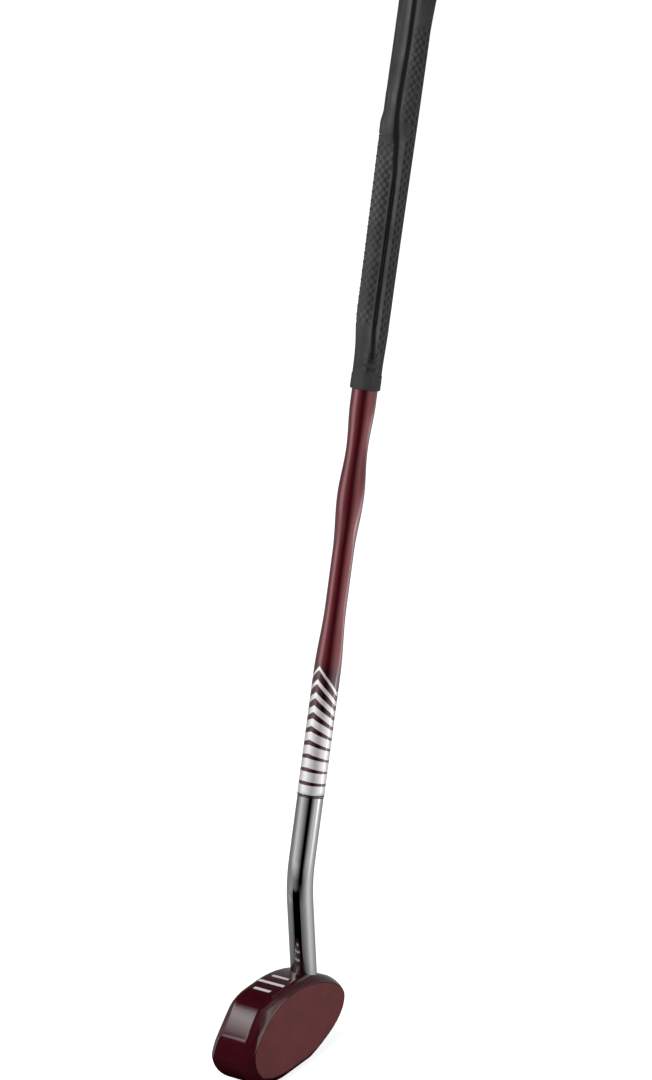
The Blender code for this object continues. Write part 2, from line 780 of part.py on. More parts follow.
def make_shaft_tube(axis):
    """Lacquered shaft with two waists and a swell, hollow, with a socket for the spigot."""
    lacquer = material("shaft_lacquer", (0.075, 0.006, 0.014), 0.10)
    outer = [(shaft_radius(station), station) for station in shaft_stations()]
    socket_radius = spigot_radius() + BORE_CLEARANCE
    profile = outer + [
        (SHAFT_BORE_RADIUS, shaft_top()),
        (SHAFT_BORE_RADIUS, socket_top()),
        (socket_radius, socket_top()),
        (socket_radius, shaft_bottom()),
    ]
    return add_object("shaft_tube", turned(profile), lacquer, axis)


def make_grip_tape(axis):
    """Thin tape sleeve on the handle core, under the grip."""
    tape = material("tape_cloth", (0.55, 0.52, 0.45), 0.90)
    inner = HANDLE_RADIUS + BORE_CLEARANCE
    bottom = tape_bottom()
    top = shaft_top() - TAPE_SETBACK
    sleeve = turned([(inner, top), (tape_radius(), top), (tape_radius(), bottom), (inner, bottom)])
    return add_object("grip_tape", sleeve, tape, axis)


def make_grip_sleeve(axis):
    """Rubber grip: lip, finger pad, grooves and flared butt outside, a bore that follows the shaft."""
    rubber = material("grip_rubber", (0.022, 0.022, 0.024), 0.60)
    lip_top = grip_bottom() + GRIP_LIP_HEIGHT
    neck = lip_top + GRIP_LIP_STEP
    pad_full, pad_end, pad_step = [station for station, _ in pad_keys()[1:4]]
    spans = (
        (neck, pad_full, 10),
        (pad_full, pad_end, 7),
        (pad_end, pad_step, 3),
        (pad_step, flare_start(), 5),
        (flare_start(), grip_top(), 10),
    )
    marks = [grip_bottom() + GRIP_EDGE, lip_top, neck]
    for low, high, count in spans:
        marks += [low + (high - low) * (i + 1) / count for i in range(count)]
    sections = [grip_section(grip_bottom(), GRIP_EDGE)]
    sections += [grip_section(station) for station in sorted(marks)]

    sections.append(bore_section(tape_bore(), grip_top()))
    for step in range(GRIP_BORE_STEPS + 1):
        station = handle_bottom() - COLLAR_FALL_LENGTH * step / GRIP_BORE_STEPS
        clear = max(shaft_radius(station) + BORE_CLEARANCE, tape_bore())
        sections.append(bore_section(clear, station))
    sections.append(bore_section(collar_bore(), grip_bottom()))
    return add_object("grip_sleeve", loft(sections, closed=True), rubber, axis)


def make_butt_cap(axis):
    """Cap over the flared end of the grip, with a stem in the shaft's bore and a vent."""
    rubber = material("cap_rubber", (0.018, 0.018, 0.020), 0.45)
    bottom = grip_top() + SEAT_GAP
    top = bottom + CAP_THICKNESS
    stem_radius = SHAFT_BORE_RADIUS - BORE_CLEARANCE
    stem_foot = bottom - CAP_STEM_LENGTH

    def end_section(inset, station):
        _, place = grip_section(grip_top(), inset)
        return GRIP_POINTS, lambda number: Vector((place(number).x, place(number).y, station))

    sections = [
        bore_section(stem_radius, stem_foot),
        bore_section(stem_radius, bottom),
        end_section(0.0, bottom),
    ]
    for step in range(CAP_EDGE_STEPS + 1):
        turn = 0.5 * math.pi * step / CAP_EDGE_STEPS
        inset = CAP_EDGE * (1.0 - math.cos(turn))
        sections.append(end_section(inset, top - CAP_EDGE + CAP_EDGE * math.sin(turn)))
    sections.append(bore_section(CAP_VENT_RADIUS, top))
    sections.append(bore_section(CAP_VENT_RADIUS, stem_foot))
    return add_object("butt_cap", loft(sections, closed=True), rubber, axis)


def make_shaft_axis():
    """Empty on the neck's corner whose Z axis is the leaning axis of the shaft."""
    axis = bpy.data.objects.new("shaft_axis", None)
    axis.location = (NECK_X, NECK_Y, NECK_CORNER_HEIGHT)
    axis.rotation_euler = (0.0, SHAFT_LEAN, 0.0)
    bpy.context.scene.collection.objects.link(axis)
    return axis


def main():
    """Build the club."""
    clear_scene()
    make_head_block()
    make_face_sheet()
    make_sole_plate()
    make_sole_screws()
    make_head_weight()
    make_neck_tube()
    make_neck_plug()
    axis = make_shaft_axis()
    make_joint_ring(axis)
    make_joint_spigot(axis)
    make_shaft_tube(axis)
    make_grip_tape(axis)
    make_grip_sleeve(axis)
    make_butt_cap(axis)


main()
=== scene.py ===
"""Looks of a ground golf club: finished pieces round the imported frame, and a small studio.

Metres, +Z up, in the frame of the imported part.  -X is the toe of the head, -Y its striking side.
Stations are measured along the leaning shaft from the corner of the neck.
"""

import bisect
import math

import bmesh
import bpy
from mathutils import Matrix, Quaternion, Vector


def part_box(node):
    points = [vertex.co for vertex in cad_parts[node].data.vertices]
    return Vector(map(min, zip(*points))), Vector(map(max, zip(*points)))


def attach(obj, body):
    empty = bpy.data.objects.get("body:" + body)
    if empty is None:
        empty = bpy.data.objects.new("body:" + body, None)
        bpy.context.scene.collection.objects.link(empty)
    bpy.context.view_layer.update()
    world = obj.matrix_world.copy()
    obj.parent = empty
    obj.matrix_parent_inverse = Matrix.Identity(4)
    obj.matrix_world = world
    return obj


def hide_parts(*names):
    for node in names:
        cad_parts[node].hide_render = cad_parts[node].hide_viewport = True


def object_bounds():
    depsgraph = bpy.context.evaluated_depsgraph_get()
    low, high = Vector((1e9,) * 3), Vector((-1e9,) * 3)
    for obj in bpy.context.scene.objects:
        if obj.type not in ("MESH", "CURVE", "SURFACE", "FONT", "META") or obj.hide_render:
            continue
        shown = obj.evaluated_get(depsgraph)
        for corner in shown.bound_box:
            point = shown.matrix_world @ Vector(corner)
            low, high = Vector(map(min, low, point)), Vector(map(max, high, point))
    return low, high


bl_info = {
    "name": "Ground Golf Club",
    "version": (1, 0, 0),
    "blender": (4, 5, 0),
    "location": "View3D > Sidebar > Club",
    "description": "Builds a finished ground golf club and a small studio round it",
    "category": "Object",
}

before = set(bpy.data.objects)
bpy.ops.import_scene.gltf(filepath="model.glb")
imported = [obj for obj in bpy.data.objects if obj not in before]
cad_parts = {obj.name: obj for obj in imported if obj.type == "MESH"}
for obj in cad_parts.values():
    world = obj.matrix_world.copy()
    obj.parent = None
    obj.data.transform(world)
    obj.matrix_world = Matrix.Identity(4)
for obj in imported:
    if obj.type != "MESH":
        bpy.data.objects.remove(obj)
cad_low, cad_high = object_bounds()

BODY = "root"
MM = 0.001
FULL_TURN = 2.0 * math.pi
QUARTER_TURN = 0.5 * math.pi
# Faces that meet at more than these angles keep a sharp edge: on any piece, and on a cut one
CREASE = math.radians(38.0)
CUT_CREASE = math.radians(35.0)
# Points closer than this become one
MERGE = 0.000001
# Points round a tube, a screw and the grip
TUBE_POINTS = 96
SCREW_POINTS = 64
GRIP_POINTS = 160
# Width of the soft edge of paint
PAINT_EDGE = 0.0002
# How far the middle of a small round lies inside its corner, as a share of its radius
ROUND_MIDDLE = 0.3


def middle(node):
    """Middle of a node's box."""
    low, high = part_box(node)
    return 0.5 * (low + high)


def shaft_frame():
    """Matrix from the shaft's own frame, with Z along its axis, to the part's frame.

    The axis runs through the middles of the spigot and the tape, and the origin is the neck's
    corner, where that axis meets the upright axis of the neck's foot.
    """
    foot = middle("neck_plug")
    low = middle("joint_spigot")
    along = (middle("grip_tape") - low).normalized()
    corner = low - along * ((low.x - foot.x) / along.x)
    lean = math.atan2(along.x, along.z)
    return Matrix.Translation(corner) @ Matrix.Rotation(lean, 4, "Y")


SHAFT = shaft_frame()
CORNER = SHAFT.to_translation()
LEAN = SHAFT.to_euler().y
HEAD_LOW, HEAD_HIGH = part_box("head_block")
SHEET_LOW, SHEET_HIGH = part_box("face_sheet")


def stretch(node):
    """Lowest and highest station of a node on the shaft."""
    inverse = SHAFT.inverted()
    stations = [(inverse @ vertex.co).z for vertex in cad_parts[node].data.vertices]
    return min(stations), max(stations)


GRIP_FOOT, GRIP_END = stretch("grip_sleeve")
SHAFT_FOOT, SHAFT_END = stretch("shaft_tube")
# How far the ring's top and the shaft's foot sit below those of their nodes
JOINT_DROP = 0.0004


class HeadSettings(bpy.types.PropertyGroup):
    """Sizes of the wooden head, its face sheet and its marks."""

    facet_round: bpy.props.FloatProperty(
        name="Facet edge", description="Radius left on the edges of the toe shoulder",
        default=0.0004, unit="LENGTH")
    facet_crown: bpy.props.FloatProperty(
        name="Facet crown", description="How far the planed toe shoulder bulges in its middle",
        default=0.00035, unit="LENGTH")
    bevel_depth: bpy.props.FloatProperty(
        name="Front bevel", description="Depth of the bevel round the striking side",
        default=0.0070, unit="LENGTH")
    sheet_edge: bpy.props.FloatProperty(
        name="Sheet edge", description="Radius on the border of the face sheet",
        default=0.0005, unit="LENGTH")
    mark_width: bpy.props.FloatProperty(
        name="Mark width", description="Width of the sight lines on the crown",
        default=0.0032, unit="LENGTH")
    mark_pitch: bpy.props.FloatProperty(
        name="Mark pitch", description="Distance from one sight line to the next",
        default=0.0115, unit="LENGTH")


class StripeSettings(bpy.types.PropertyGroup):
    """Painted chevrons at the foot of the shaft."""

    count: bpy.props.IntProperty(
        name="Stripes", description="Number of chevrons", default=10)
    top: bpy.props.FloatProperty(
        name="Top", description="From the shaft's foot to the middle of the highest chevron's tip",
        default=0.0909, unit="LENGTH")
    pitch: bpy.props.FloatProperty(
        name="Pitch", description="Distance from one chevron to the next",
        default=0.00978, unit="LENGTH")
    width: bpy.props.FloatProperty(
        name="Width", description="Width of the highest chevron", default=0.0027, unit="LENGTH")
    growth: bpy.props.FloatProperty(
        name="Growth", description="How much wider the lowest chevron is than the highest",
        default=0.0044, unit="LENGTH")
    slope: bpy.props.FloatProperty(
        name="Slope", description="Fall of the highest chevron's arms in a radian round the shaft",
        default=0.0103, unit="LENGTH")
    reach: bpy.props.FloatProperty(
        name="Reach", description="How far round the shaft the arms fall before they run level",
        default=math.radians(97.0), subtype="ANGLE")
    angle: bpy.props.FloatProperty(
        name="Angle", description="Where the tips lie round the shaft", default=math.radians(176.0),
        subtype="ANGLE")


class GripSettings(bpy.types.PropertyGroup):
    """Moulded detail of the rubber grip."""

    axis_angle: bpy.props.FloatProperty(
        name="Pad angle", description="Direction of the finger pad round the grip",
        default=math.radians(150.0), subtype="ANGLE")
    dot_height: bpy.props.FloatProperty(
        name="Dot height", description="Height of the moulded dots", default=0.00034, unit="LENGTH")
    dot_radius: bpy.props.FloatProperty(
        name="Dot radius", description="Radius of the moulded dots", default=0.00135, unit="LENGTH")
    dot_pitch: bpy.props.FloatProperty(
        name="Dot pitch", description="Distance between dots along the grip",
        default=0.0062, unit="LENGTH")
    rib_height: bpy.props.FloatProperty(
        name="Rib height", description="Height of the thin rib in each side groove",
        default=0.0007475, unit="LENGTH")
    slot_depth: bpy.props.FloatProperty(
        name="Slot depth", description="Depth of the short slots", default=0.00036, unit="LENGTH")
    slot_pitch: bpy.props.FloatProperty(
        name="Slot pitch", description="Distance between slots along the grip",
        default=0.0062, unit="LENGTH")


class FinishSettings(bpy.types.PropertyGroup):
    """Colours of the finishes."""

    lacquer: bpy.props.FloatVectorProperty(
        name="Head lacquer", description="Wine red of the head", subtype="COLOR", size=3,
        default=(0.050, 0.0025, 0.0070))
    shaft: bpy.props.FloatVectorProperty(
        name="Shaft lacquer", description="Wine red of the shaft", subtype="COLOR", size=3,
        default=(0.165, 0.010, 0.018))
    sheet: bpy.props.FloatVectorProperty(
        name="Face sheet", description="Brown red of the face sheet", subtype="COLOR", size=3,
        default=(0.175, 0.046, 0.049))
    paint: bpy.props.FloatVectorProperty(
        name="Paint", description="White of the stripes and sight lines", subtype="COLOR", size=3,
        default=(0.90, 0.87, 0.88))
    plating: bpy.props.FloatVectorProperty(
        name="Plating", description="Dark chrome of the neck tube", subtype="COLOR", size=3,
        default=(0.40, 0.40, 0.405))
    rubber: bpy.props.FloatVectorProperty(
        name="Grip rubber", description="Charcoal of the grip", subtype="COLOR", size=3,
        default=(0.042, 0.042, 0.042))


class StageSettings(bpy.types.PropertyGroup):
    """Camera and light."""

    lens: bpy.props.FloatProperty(
        name="Lens", description="Focal length in millimetres", default=172.0)
    azimuth: bpy.props.FloatProperty(
        name="Azimuth", description="Direction in which the camera looks, from +Y towards +X",
        default=math.radians(55.11), subtype="ANGLE")
    elevation: bpy.props.FloatProperty(
        name="Elevation", description="How steeply the camera looks down",
        default=math.radians(22.33), subtype="ANGLE")
    roll: bpy.props.FloatProperty(
        name="Roll", description="Tilt of the camera about its own axis",
        default=math.radians(-2.683), subtype="ANGLE")
    distance: bpy.props.FloatProperty(
        name="Distance", description="From the camera to the point it looks at",
        default=3.600, unit="LENGTH")
    aim: bpy.props.FloatVectorProperty(
        name="Aim", description="Point in the middle of the picture", size=3,
        default=(0.0660, -0.01876, 0.38582), subtype="TRANSLATION")
    ambient: bpy.props.FloatProperty(
        name="Ambient", description="Strength of the soft light from all round", default=0.25)
    backdrop_lift: bpy.props.FloatProperty(
        name="Backdrop lift", description="Glow that makes the floor white where it shows",
        default=0.80)


class Wire:
    """An output socket that takes part in sums, products and comparisons as Math nodes."""

    def __init__(self, tree, socket):
        self.tree = tree
        self.socket = socket

    def math(self, operation, *others, clamp=False):
        """Math node whose first value is this one."""
        settings = {"operation": operation, "use_clamp": clamp}
        return add_node(self.tree, "ShaderNodeMath", settings, dict(enumerate((self, *others))))

    def dot(self, direction):
        """How far this vector reaches along a direction."""
        settings = {"operation": "DOT_PRODUCT"}
        inputs = {0: self, 1: direction}
        return add_node(self.tree, "ShaderNodeVectorMath", settings, inputs, "Value")

    def part(self, axis):
        """The X, Y or Z part of this vector."""
        return add_node(self.tree, "ShaderNodeSeparateXYZ", {}, {0: self}, axis)

    def __add__(self, other):
        return self.math("ADD", other)

    __radd__ = __add__

    def __sub__(self, other):
        return self.math("SUBTRACT", other)

    def __rsub__(self, other):
        return self * -1.0 + other

    def __mul__(self, other):
        return self.math("MULTIPLY", other)

    __rmul__ = __mul__

    def __truediv__(self, other):
        return self.math("DIVIDE", other)

    def __abs__(self):
        return self.math("ABSOLUTE")

    def band(self, centre, half_width, edge):
        """1 within half_width of the centre, falling to 0 over a soft edge."""
        return ((half_width - abs(self - centre)) / edge).math("ADD", 0.5, clamp=True)


def add_node(tree, kind, settings, inputs, output=0):
    """Add a node, set it up, feed its inputs with values or wires and return one output."""
    node = tree.nodes.new(kind)
    for name, value in settings.items():
        if name == "stops":
            set_stops(node.color_ramp, value)
        else:
            setattr(node, name, value)
    for name, value in inputs.items():
        if isinstance(value, Wire):
            tree.links.new(value.socket, node.inputs[name])
        else:
            node.inputs[name].default_value = value
    return Wire(tree, node.outputs[output])


def set_stops(ramp, stops):
    """Give a colour ramp its stops, each a place and a grey level."""
    for place, _ in stops[1:-1]:
        ramp.elements.new(place)
    for element, (place, level) in zip(ramp.elements, stops):
        element.position = place
        element.color = (level, level, level, 1.0)


def joined(wires, operation):
    """All the wires as one: their sum, or the greatest of them."""
    total = wires[0]
    for wire in wires[1:]:
        total = total.math(operation, wire)
    return total


def new_material(name):
    """Material that uses nodes."""
    material = bpy.data.materials.new(name)
    material.use_nodes = True
    return material


def show(tree, shader):
    """Join a shader to the output of its material."""
    tree.links.new(shader.socket, tree.nodes["Material Output"].inputs["Surface"])


class Surface:
    """A material built on one Principled shader."""

    def __init__(self, name, **constants):
        self.material = new_material(name)
        self.tree = self.material.node_tree
        self.shader = self.tree.nodes["Principled BSDF"]
        for key, value in constants.items():
            socket = key.replace("_", " ").title().replace("Ior", "IOR")
            self.shader.inputs[socket].default_value = value

    def node(self, kind, settings, inputs, output=0):
        """Any node of this material."""
        return add_node(self.tree, kind, settings, inputs, output)

    def feed(self, socket, wire):
        """Join a wire to one of the shader's inputs."""
        self.tree.links.new(wire.socket, self.shader.inputs[socket])

    def place(self):
        """Where a point of the surface lies, in the part's frame."""
        return self.node("ShaderNodeTexCoord", {}, {}, "Object")

    def shaft_place(self):
        """Where a point lies in the shaft's own frame."""
        inputs = {"Vector": self.place(), "Location": CORNER, "Rotation": (0.0, LEAN, 0.0)}
        return self.node("ShaderNodeMapping", {"vector_type": "TEXTURE"}, inputs)

    def stretched(self, place, scale):
        """The same place with each axis scaled."""
        return self.node("ShaderNodeMapping", {}, {"Vector": place, "Scale": scale})

    def noise(self, place, scale, detail=2.0, roughness=0.5):
        """Cloudy value from 0 to 1."""
        inputs = {"Vector": place, "Scale": scale, "Detail": detail, "Roughness": roughness}
        return self.node("ShaderNodeTexNoise", {}, inputs, "Fac")

    def cells(self, place, scale):
        """Distance to the nearest of many scattered points."""
        return self.node("ShaderNodeTexVoronoi", {}, {"Vector": place, "Scale": scale}, "Distance")

    def ramp(self, value, *stops):
        """Grey level that follows stops of (place, level)."""
        return self.node("ShaderNodeValToRGB", {"stops": stops}, {0: value})

    def mix(self, share, first, second):
        """Colour between two colours."""
        colours = [value if isinstance(value, Wire) else (*value, 1.0) for value in (first, second)]
        inputs = {0: share, 6: colours[0], 7: colours[1]}
        return self.node("ShaderNodeMix", {"data_type": "RGBA"}, inputs, 2)

    def tones(self, share, colour, dark, light):
        """Colour that runs from a darker to a lighter tone of itself."""
        return self.mix(share, shaded(colour, dark), shaded(colour, light))

    def bump(self, height, distance, strength):
        """Small relief that the mesh doesn't carry."""
        inputs = {"Height": height, "Distance": distance, "Strength": strength}
        self.feed("Normal", self.node("ShaderNodeBump", {}, inputs))


def shaded(colour, factor):
    """A colour made lighter or darker."""
    return tuple(min(channel * factor, 1.0) for channel in colour)


def ease(low, high, value):
    """0 below low, 1 above high, and a smooth rise between."""
    share = min(max((value - low) / (high - low), 0.0), 1.0)
    return share * share * (3.0 - 2.0 * share)


def plateau(low, high, edge, value):
    """1 between low and high, and a smooth fall to 0 over the edge outside them."""
    if not low - edge < value < high + edge:
        return 0.0
    return ease(low - edge, low, value) * (1.0 - ease(high, high + edge, value))


def shares(count, first=0):
    """Even shares of a way that is gone in count steps, from step number first to the end."""
    return [step / count for step in range(first, count + 1)]


def new_object(name, bm, material=None):
    """Make an object of a bmesh and put it in the scene."""
    mesh = bpy.data.meshes.new(name)
    bm.to_mesh(mesh)
    bm.free()
    if material:
        mesh.materials.append(material)
    item = bpy.data.objects.new(name, mesh)
    bpy.context.scene.collection.objects.link(item)
    return item


def finish_piece(name, bm, surface, node):
    """Make an object of a bmesh, ride it on the body and let it stand for its CAD node."""
    bmesh.ops.recalc_face_normals(bm, faces=bm.faces)
    piece = new_object(name, bm, surface.material)
    piece.data.shade_smooth()
    piece.data.set_sharp_from_angle(angle=CREASE)
    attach(piece, BODY)
    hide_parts(node)
    return piece


def wrapped(points, rows, place):
    """Grid wrapped into a closed skin: place gives the spot of a point's number in a row.

    Rows that shrink to one spot close the skin with a pole.
    """
    bm = bmesh.new()
    bmesh.ops.create_grid(bm, x_segments=points, y_segments=rows - 1, size=1.0)
    for vertex in bm.verts:
        number = round(0.5 * (vertex.co.x + 1.0) * points) % points
        row = round(0.5 * (vertex.co.y + 1.0) * (rows - 1))
        vertex.co = place(number, row)
    bmesh.ops.remove_doubles(bm, verts=bm.verts, dist=MERGE)
    return bm


def turned(profile, steps):
    """Spin a profile of (radius, height) points about Z; ends on the axis close."""
    bm = bmesh.new()
    chain = [bm.verts.new((radius, 0.0, height)) for radius, height in profile]
    edges = [bm.edges.new(pair) for pair in zip(chain, chain[1:])]
    bmesh.ops.spin(bm, geom=chain + edges, cent=(0.0, 0.0, 0.0), axis=(0.0, 0.0, 1.0),
                   angle=FULL_TURN, steps=steps, use_merge=True)
    bmesh.ops.remove_doubles(bm, verts=bm.verts, dist=MERGE)
    return bm


def on_shaft(bm):
    """Lean a bmesh from the shaft's own frame into the part's frame."""
    bmesh.ops.transform(bm, matrix=SHAFT, verts=bm.verts)
    return bm


def rounded_profile(corners, radius):
    """Profile of (radius, height) points, each inner corner rounded with a small arc.

    An arc takes up to 0.45 of the sides that meet in its corner.
    """
    corners = [Vector(corner) for corner in corners]
    path = [corners[0]]
    for before, corner, after in zip(corners, corners[1:], corners[2:]):
        reach = min(radius, 0.45 * (corner - before).length, 0.45 * (after - corner).length)
        start = corner + (before - corner).normalized() * reach
        end = corner + (after - corner).normalized() * reach
        for share in shares(4):
            path.append(start.lerp(corner, share).lerp(corner.lerp(end, share), share))
    path.append(corners[-1])
    return [tuple(spot) for spot in path]


# Head outline: points of the straight crown and sole, and how full each quarter is
CROWN_FLAT = (-0.0190, -0.0060)
SOLE_FLAT = (-0.0200, 0.0200)
HEAD_FULLNESS = ((1.85, 1.85), (2.35, 1.12), (1.50, 2.00), (1.18, 1.50))
SHEET_TOP_FLAT = (-0.0120, -0.0020)
SHEET_BOTTOM_FLAT = (-0.0040, 0.0060)
SHEET_FULLNESS = ((1.65, 1.65), (1.55, 1.55), (2.60, 2.60), (1.65, 2.10))
WAIST_HEIGHT = 0.0330
SHEET_WAIST_HEIGHT = 0.0347
FACET_TOP_SETBACK = 0.0320
FACET_FOOT_SETBACK = 0.0095
FACET_DROP = 0.0200
# The recess of the sheet: its depth, the clearance round the sheet, and where the bevel starts
RECESS_DEPTH = 0.0022
SHEET_GAP = 0.0003
FACE_RIM = 0.0008
# How flat the bevel of the front is: 1 is a plain chamfer, 0 a quarter of a round
BEVEL_FLATNESS = 0.55
BACK_ROUND_START = 0.0060
BACK_ROUND_RADIUS = 0.0060
BACK_ROUND_TURN = math.radians(62.0)
BACK_RIDGE = 0.0004
OUTLINE_POINTS = 360
# Rows of the head's skin on its bevel, its side, the round behind it and its back
BEVEL_ROWS = 14
SIDE_ROWS = 16
BACK_ROUND_ROWS = 10
BACK_ROWS = 30
SHEET_MIDDLE = 0.5 * (SHEET_LOW.x + SHEET_HIGH.x)
# Sight lines: the number from the middle one and the half length of each, the X and Y of the
# middle one, and how far below the crown's top their paint may reach
SIGHT_LINES = ((-1, 0.0070), (0, 0.0110), (1, 0.0070))
SIGHT_LINE_X = -0.0060
SIGHT_LINE_Y = -0.0035
CROWN_DEPTH = 0.0030


def outline(number, toe, heel, top, bottom, level, flats, fullness):
    """Point of a closed outline seen from the front, from the heel over the crown.

    flats are the ends of the straight crown and sole, and fullness holds each quarter's powers
    along X and Z, both in the order crown heel, crown toe, sole toe, sole heel.
    """
    angle = FULL_TURN * number / OUTLINE_POINTS
    quadrant = min(int(angle / QUARTER_TURN), 3)
    inside = angle - quadrant * QUARTER_TURN
    tip = heel if quadrant in (0, 3) else -toe
    peak = top if quadrant in (0, 1) else bottom
    share = QUARTER_TURN - inside if quadrant in (0, 2) else inside
    power_x, power_z = fullness[quadrant]
    flat_end = flats[quadrant]
    x = flat_end + (tip - flat_end) * max(math.sin(share), 0.0) ** (2.0 / power_x)
    z = level + (peak - level) * max(math.cos(share), 0.0) ** (2.0 / power_z)
    return x, z


def planed(x, z, inset, settings):
    """Press a point that stands outside the toe shoulder onto its slightly crowned plane."""
    run = FACET_TOP_SETBACK - FACET_FOOT_SETBACK
    length = math.hypot(run, FACET_DROP)
    across_x, across_z = -FACET_DROP / length, run / length
    from_top_x = x - HEAD_LOW.x - FACET_TOP_SETBACK
    from_top_z = z - HEAD_HIGH.z
    down = (-from_top_x * run - from_top_z * FACET_DROP) / length
    share = min(max(down / length, 0.0), 1.0)
    crown = 4.0 * settings.facet_crown * share * (1.0 - share)
    outside = from_top_x * across_x + from_top_z * across_z + inset - crown
    edge = settings.facet_round
    # A point more than six edge radii inside the plane stays where it is
    pressed = 0.5 * (outside + math.hypot(outside, edge)) if outside > -6.0 * edge else 0.0
    return x - pressed * across_x, z - pressed * across_z


def head_row(inset, y, settings):
    """Row of the head: its full outline drawn in by inset."""
    keep = 1.0 - inset / WAIST_HEIGHT
    flats = [end * keep for end in (CROWN_FLAT[1], CROWN_FLAT[0], SOLE_FLAT[0], SOLE_FLAT[1])]

    def place(number):
        x, z = outline(number, -HEAD_LOW.x - inset, HEAD_HIGH.x - inset, HEAD_HIGH.z - inset, inset,
                       WAIST_HEIGHT, flats, HEAD_FULLNESS)
        x, z = planed(x, z, inset, settings)
        return Vector((x, y, z))

    return [place(number) for number in range(OUTLINE_POINTS)]


def sheet_row(offset, y):
    """Row with the face sheet's outline, grown by offset."""
    flats = (SHEET_TOP_FLAT[1], SHEET_TOP_FLAT[0], SHEET_BOTTOM_FLAT[0], SHEET_BOTTOM_FLAT[1])

    def place(number):
        x, z = outline(number, -SHEET_LOW.x + offset, SHEET_HIGH.x + offset, SHEET_HIGH.z + offset,
                       SHEET_LOW.z - offset, SHEET_WAIST_HEIGHT, flats, SHEET_FULLNESS)
        return Vector((x, y, z))

    return [place(number) for number in range(OUTLINE_POINTS)]


def spot_row(x, y, z):
    """Row that has shrunk to one spot."""
    return [Vector((x, y, z))] * OUTLINE_POINTS


def blended_row(first, second, across, along):
    """Row between two rows: across is the share of the way sideways, along the share in depth."""
    mixed = []
    for start, end in zip(first, second):
        mixed.append(Vector((
            start.x + (end.x - start.x) * across,
            start.y + (end.y - start.y) * along,
            start.z + (end.z - start.z) * across,
        )))
    return mixed


def skin(rows):
    """Closed skin through rows of equally many points."""
    return wrapped(len(rows[0]), len(rows), lambda number, row: rows[row][number])


def head_rows(settings):
    """Rows of the head from the bottom of the sheet's recess round the front to the back ridge."""
    front = HEAD_LOW.y
    recess = front + RECESS_DEPTH
    rows = [
        spot_row(SHEET_MIDDLE, recess, SHEET_WAIST_HEIGHT),
        sheet_row(SHEET_GAP, recess),
        sheet_row(SHEET_GAP, front + SHEET_GAP),
        sheet_row(2.0 * SHEET_GAP, front),
    ]
    rim = sheet_row(FACE_RIM, front)
    side_start = front + settings.bevel_depth
    side = head_row(0.0, side_start, settings)
    for share in shares(BEVEL_ROWS):
        turn = QUARTER_TURN * share
        across = BEVEL_FLATNESS * share + (1.0 - BEVEL_FLATNESS) * math.sin(turn)
        along = BEVEL_FLATNESS * share + (1.0 - BEVEL_FLATNESS) * (1.0 - math.cos(turn))
        rows.append(blended_row(rim, side, across, along))
    for share in shares(SIDE_ROWS, 1):
        y = side_start + (BACK_ROUND_START - side_start) * share
        rows.append(head_row(0.0, y, settings))
    for share in shares(BACK_ROUND_ROWS, 1):
        turn = BACK_ROUND_TURN * share
        inset = BACK_ROUND_RADIUS * (1.0 - math.cos(turn))
        y = BACK_ROUND_START + BACK_ROUND_RADIUS * math.sin(turn)
        rows.append(head_row(inset, y, settings))
    dome_run = WAIST_HEIGHT - BACK_RIDGE - inset
    for share in shares(BACK_ROWS, 1):
        climb = 1.0 - (1.0 - share) ** 2
        rows.append(head_row(inset + dome_run * share, y + (HEAD_HIGH.y - y) * climb, settings))
    rows.append(spot_row(0.0, HEAD_HIGH.y, WAIST_HEIGHT))
    return rows


def wood_lacquer(finish, head):
    """Stained wood under a thick gloss coat, with white sight lines on the crown."""
    surface = Surface("head lacquer", coat_weight=1.0, coat_roughness=0.03, coat_ior=1.8,
                      specular_ior_level=0.2)
    place = surface.place()
    stretched = surface.stretched(place, (14.0, 130.0, 130.0))
    grain = surface.noise(stretched, 6.0, detail=5.0, roughness=0.62)
    cloud = surface.noise(place, 28.0, detail=3.0)
    tone = surface.ramp(grain * 0.7 + cloud * 0.3, (0.30, 0.0), (0.72, 1.0))
    wood = surface.tones(tone, finish.lacquer, 0.72, 1.28)
    x, y, z = [place.part(axis) for axis in "XYZ"]
    crown = z.math("GREATER_THAN", HEAD_HIGH.z - CROWN_DEPTH)
    lines = []
    for number, reach in SIGHT_LINES:
        centre = SIGHT_LINE_X + number * head.mark_pitch
        across = x.band(centre, 0.5 * head.mark_width, PAINT_EDGE)
        lines.append(across * y.band(SIGHT_LINE_Y, reach, PAINT_EDGE))
    paint = joined(lines, "MAXIMUM") * crown
    surface.feed("Base Color", surface.mix(paint, wood, finish.paint))
    surface.feed("Roughness", 0.30 + 0.10 * tone)
    return surface


class CLUB_OT_head(bpy.types.Operator):
    """Build the lacquered wooden head with its planed toe shoulder and sight lines"""

    bl_idname = "club.head"
    bl_label = "Head"

    def execute(self, context):
        head = context.scene.club_head
        finish = context.scene.club_finish
        surface = wood_lacquer(finish, head)
        finish_piece("club_head", skin(head_rows(head)), surface, "head_block")
        return {"FINISHED"}


def sheet_grain(finish):
    """Matt pressed sheet with fine speckle and a faint cross grain."""
    surface = Surface("face sheet", roughness=0.72, specular_ior_level=0.25)
    place = surface.place()
    speckle = surface.noise(place, 1500.0, roughness=0.7)
    cloud = surface.noise(place, 60.0, detail=4.0)
    fibre = surface.noise(surface.stretched(place, (900.0, 900.0, 2600.0)), 1.0, detail=1.0)
    tone = surface.ramp(speckle * 0.55 + cloud * 0.25 + fibre * 0.20, (0.36, 0.0), (0.64, 1.0))
    surface.feed("Base Color", surface.tones(tone, finish.sheet, 0.74, 1.30))
    surface.feed("Roughness", 0.66 + 0.14 * cloud)
    surface.bump(speckle * 0.7 + fibre * 0.3, 0.00018, 0.6)
    return surface


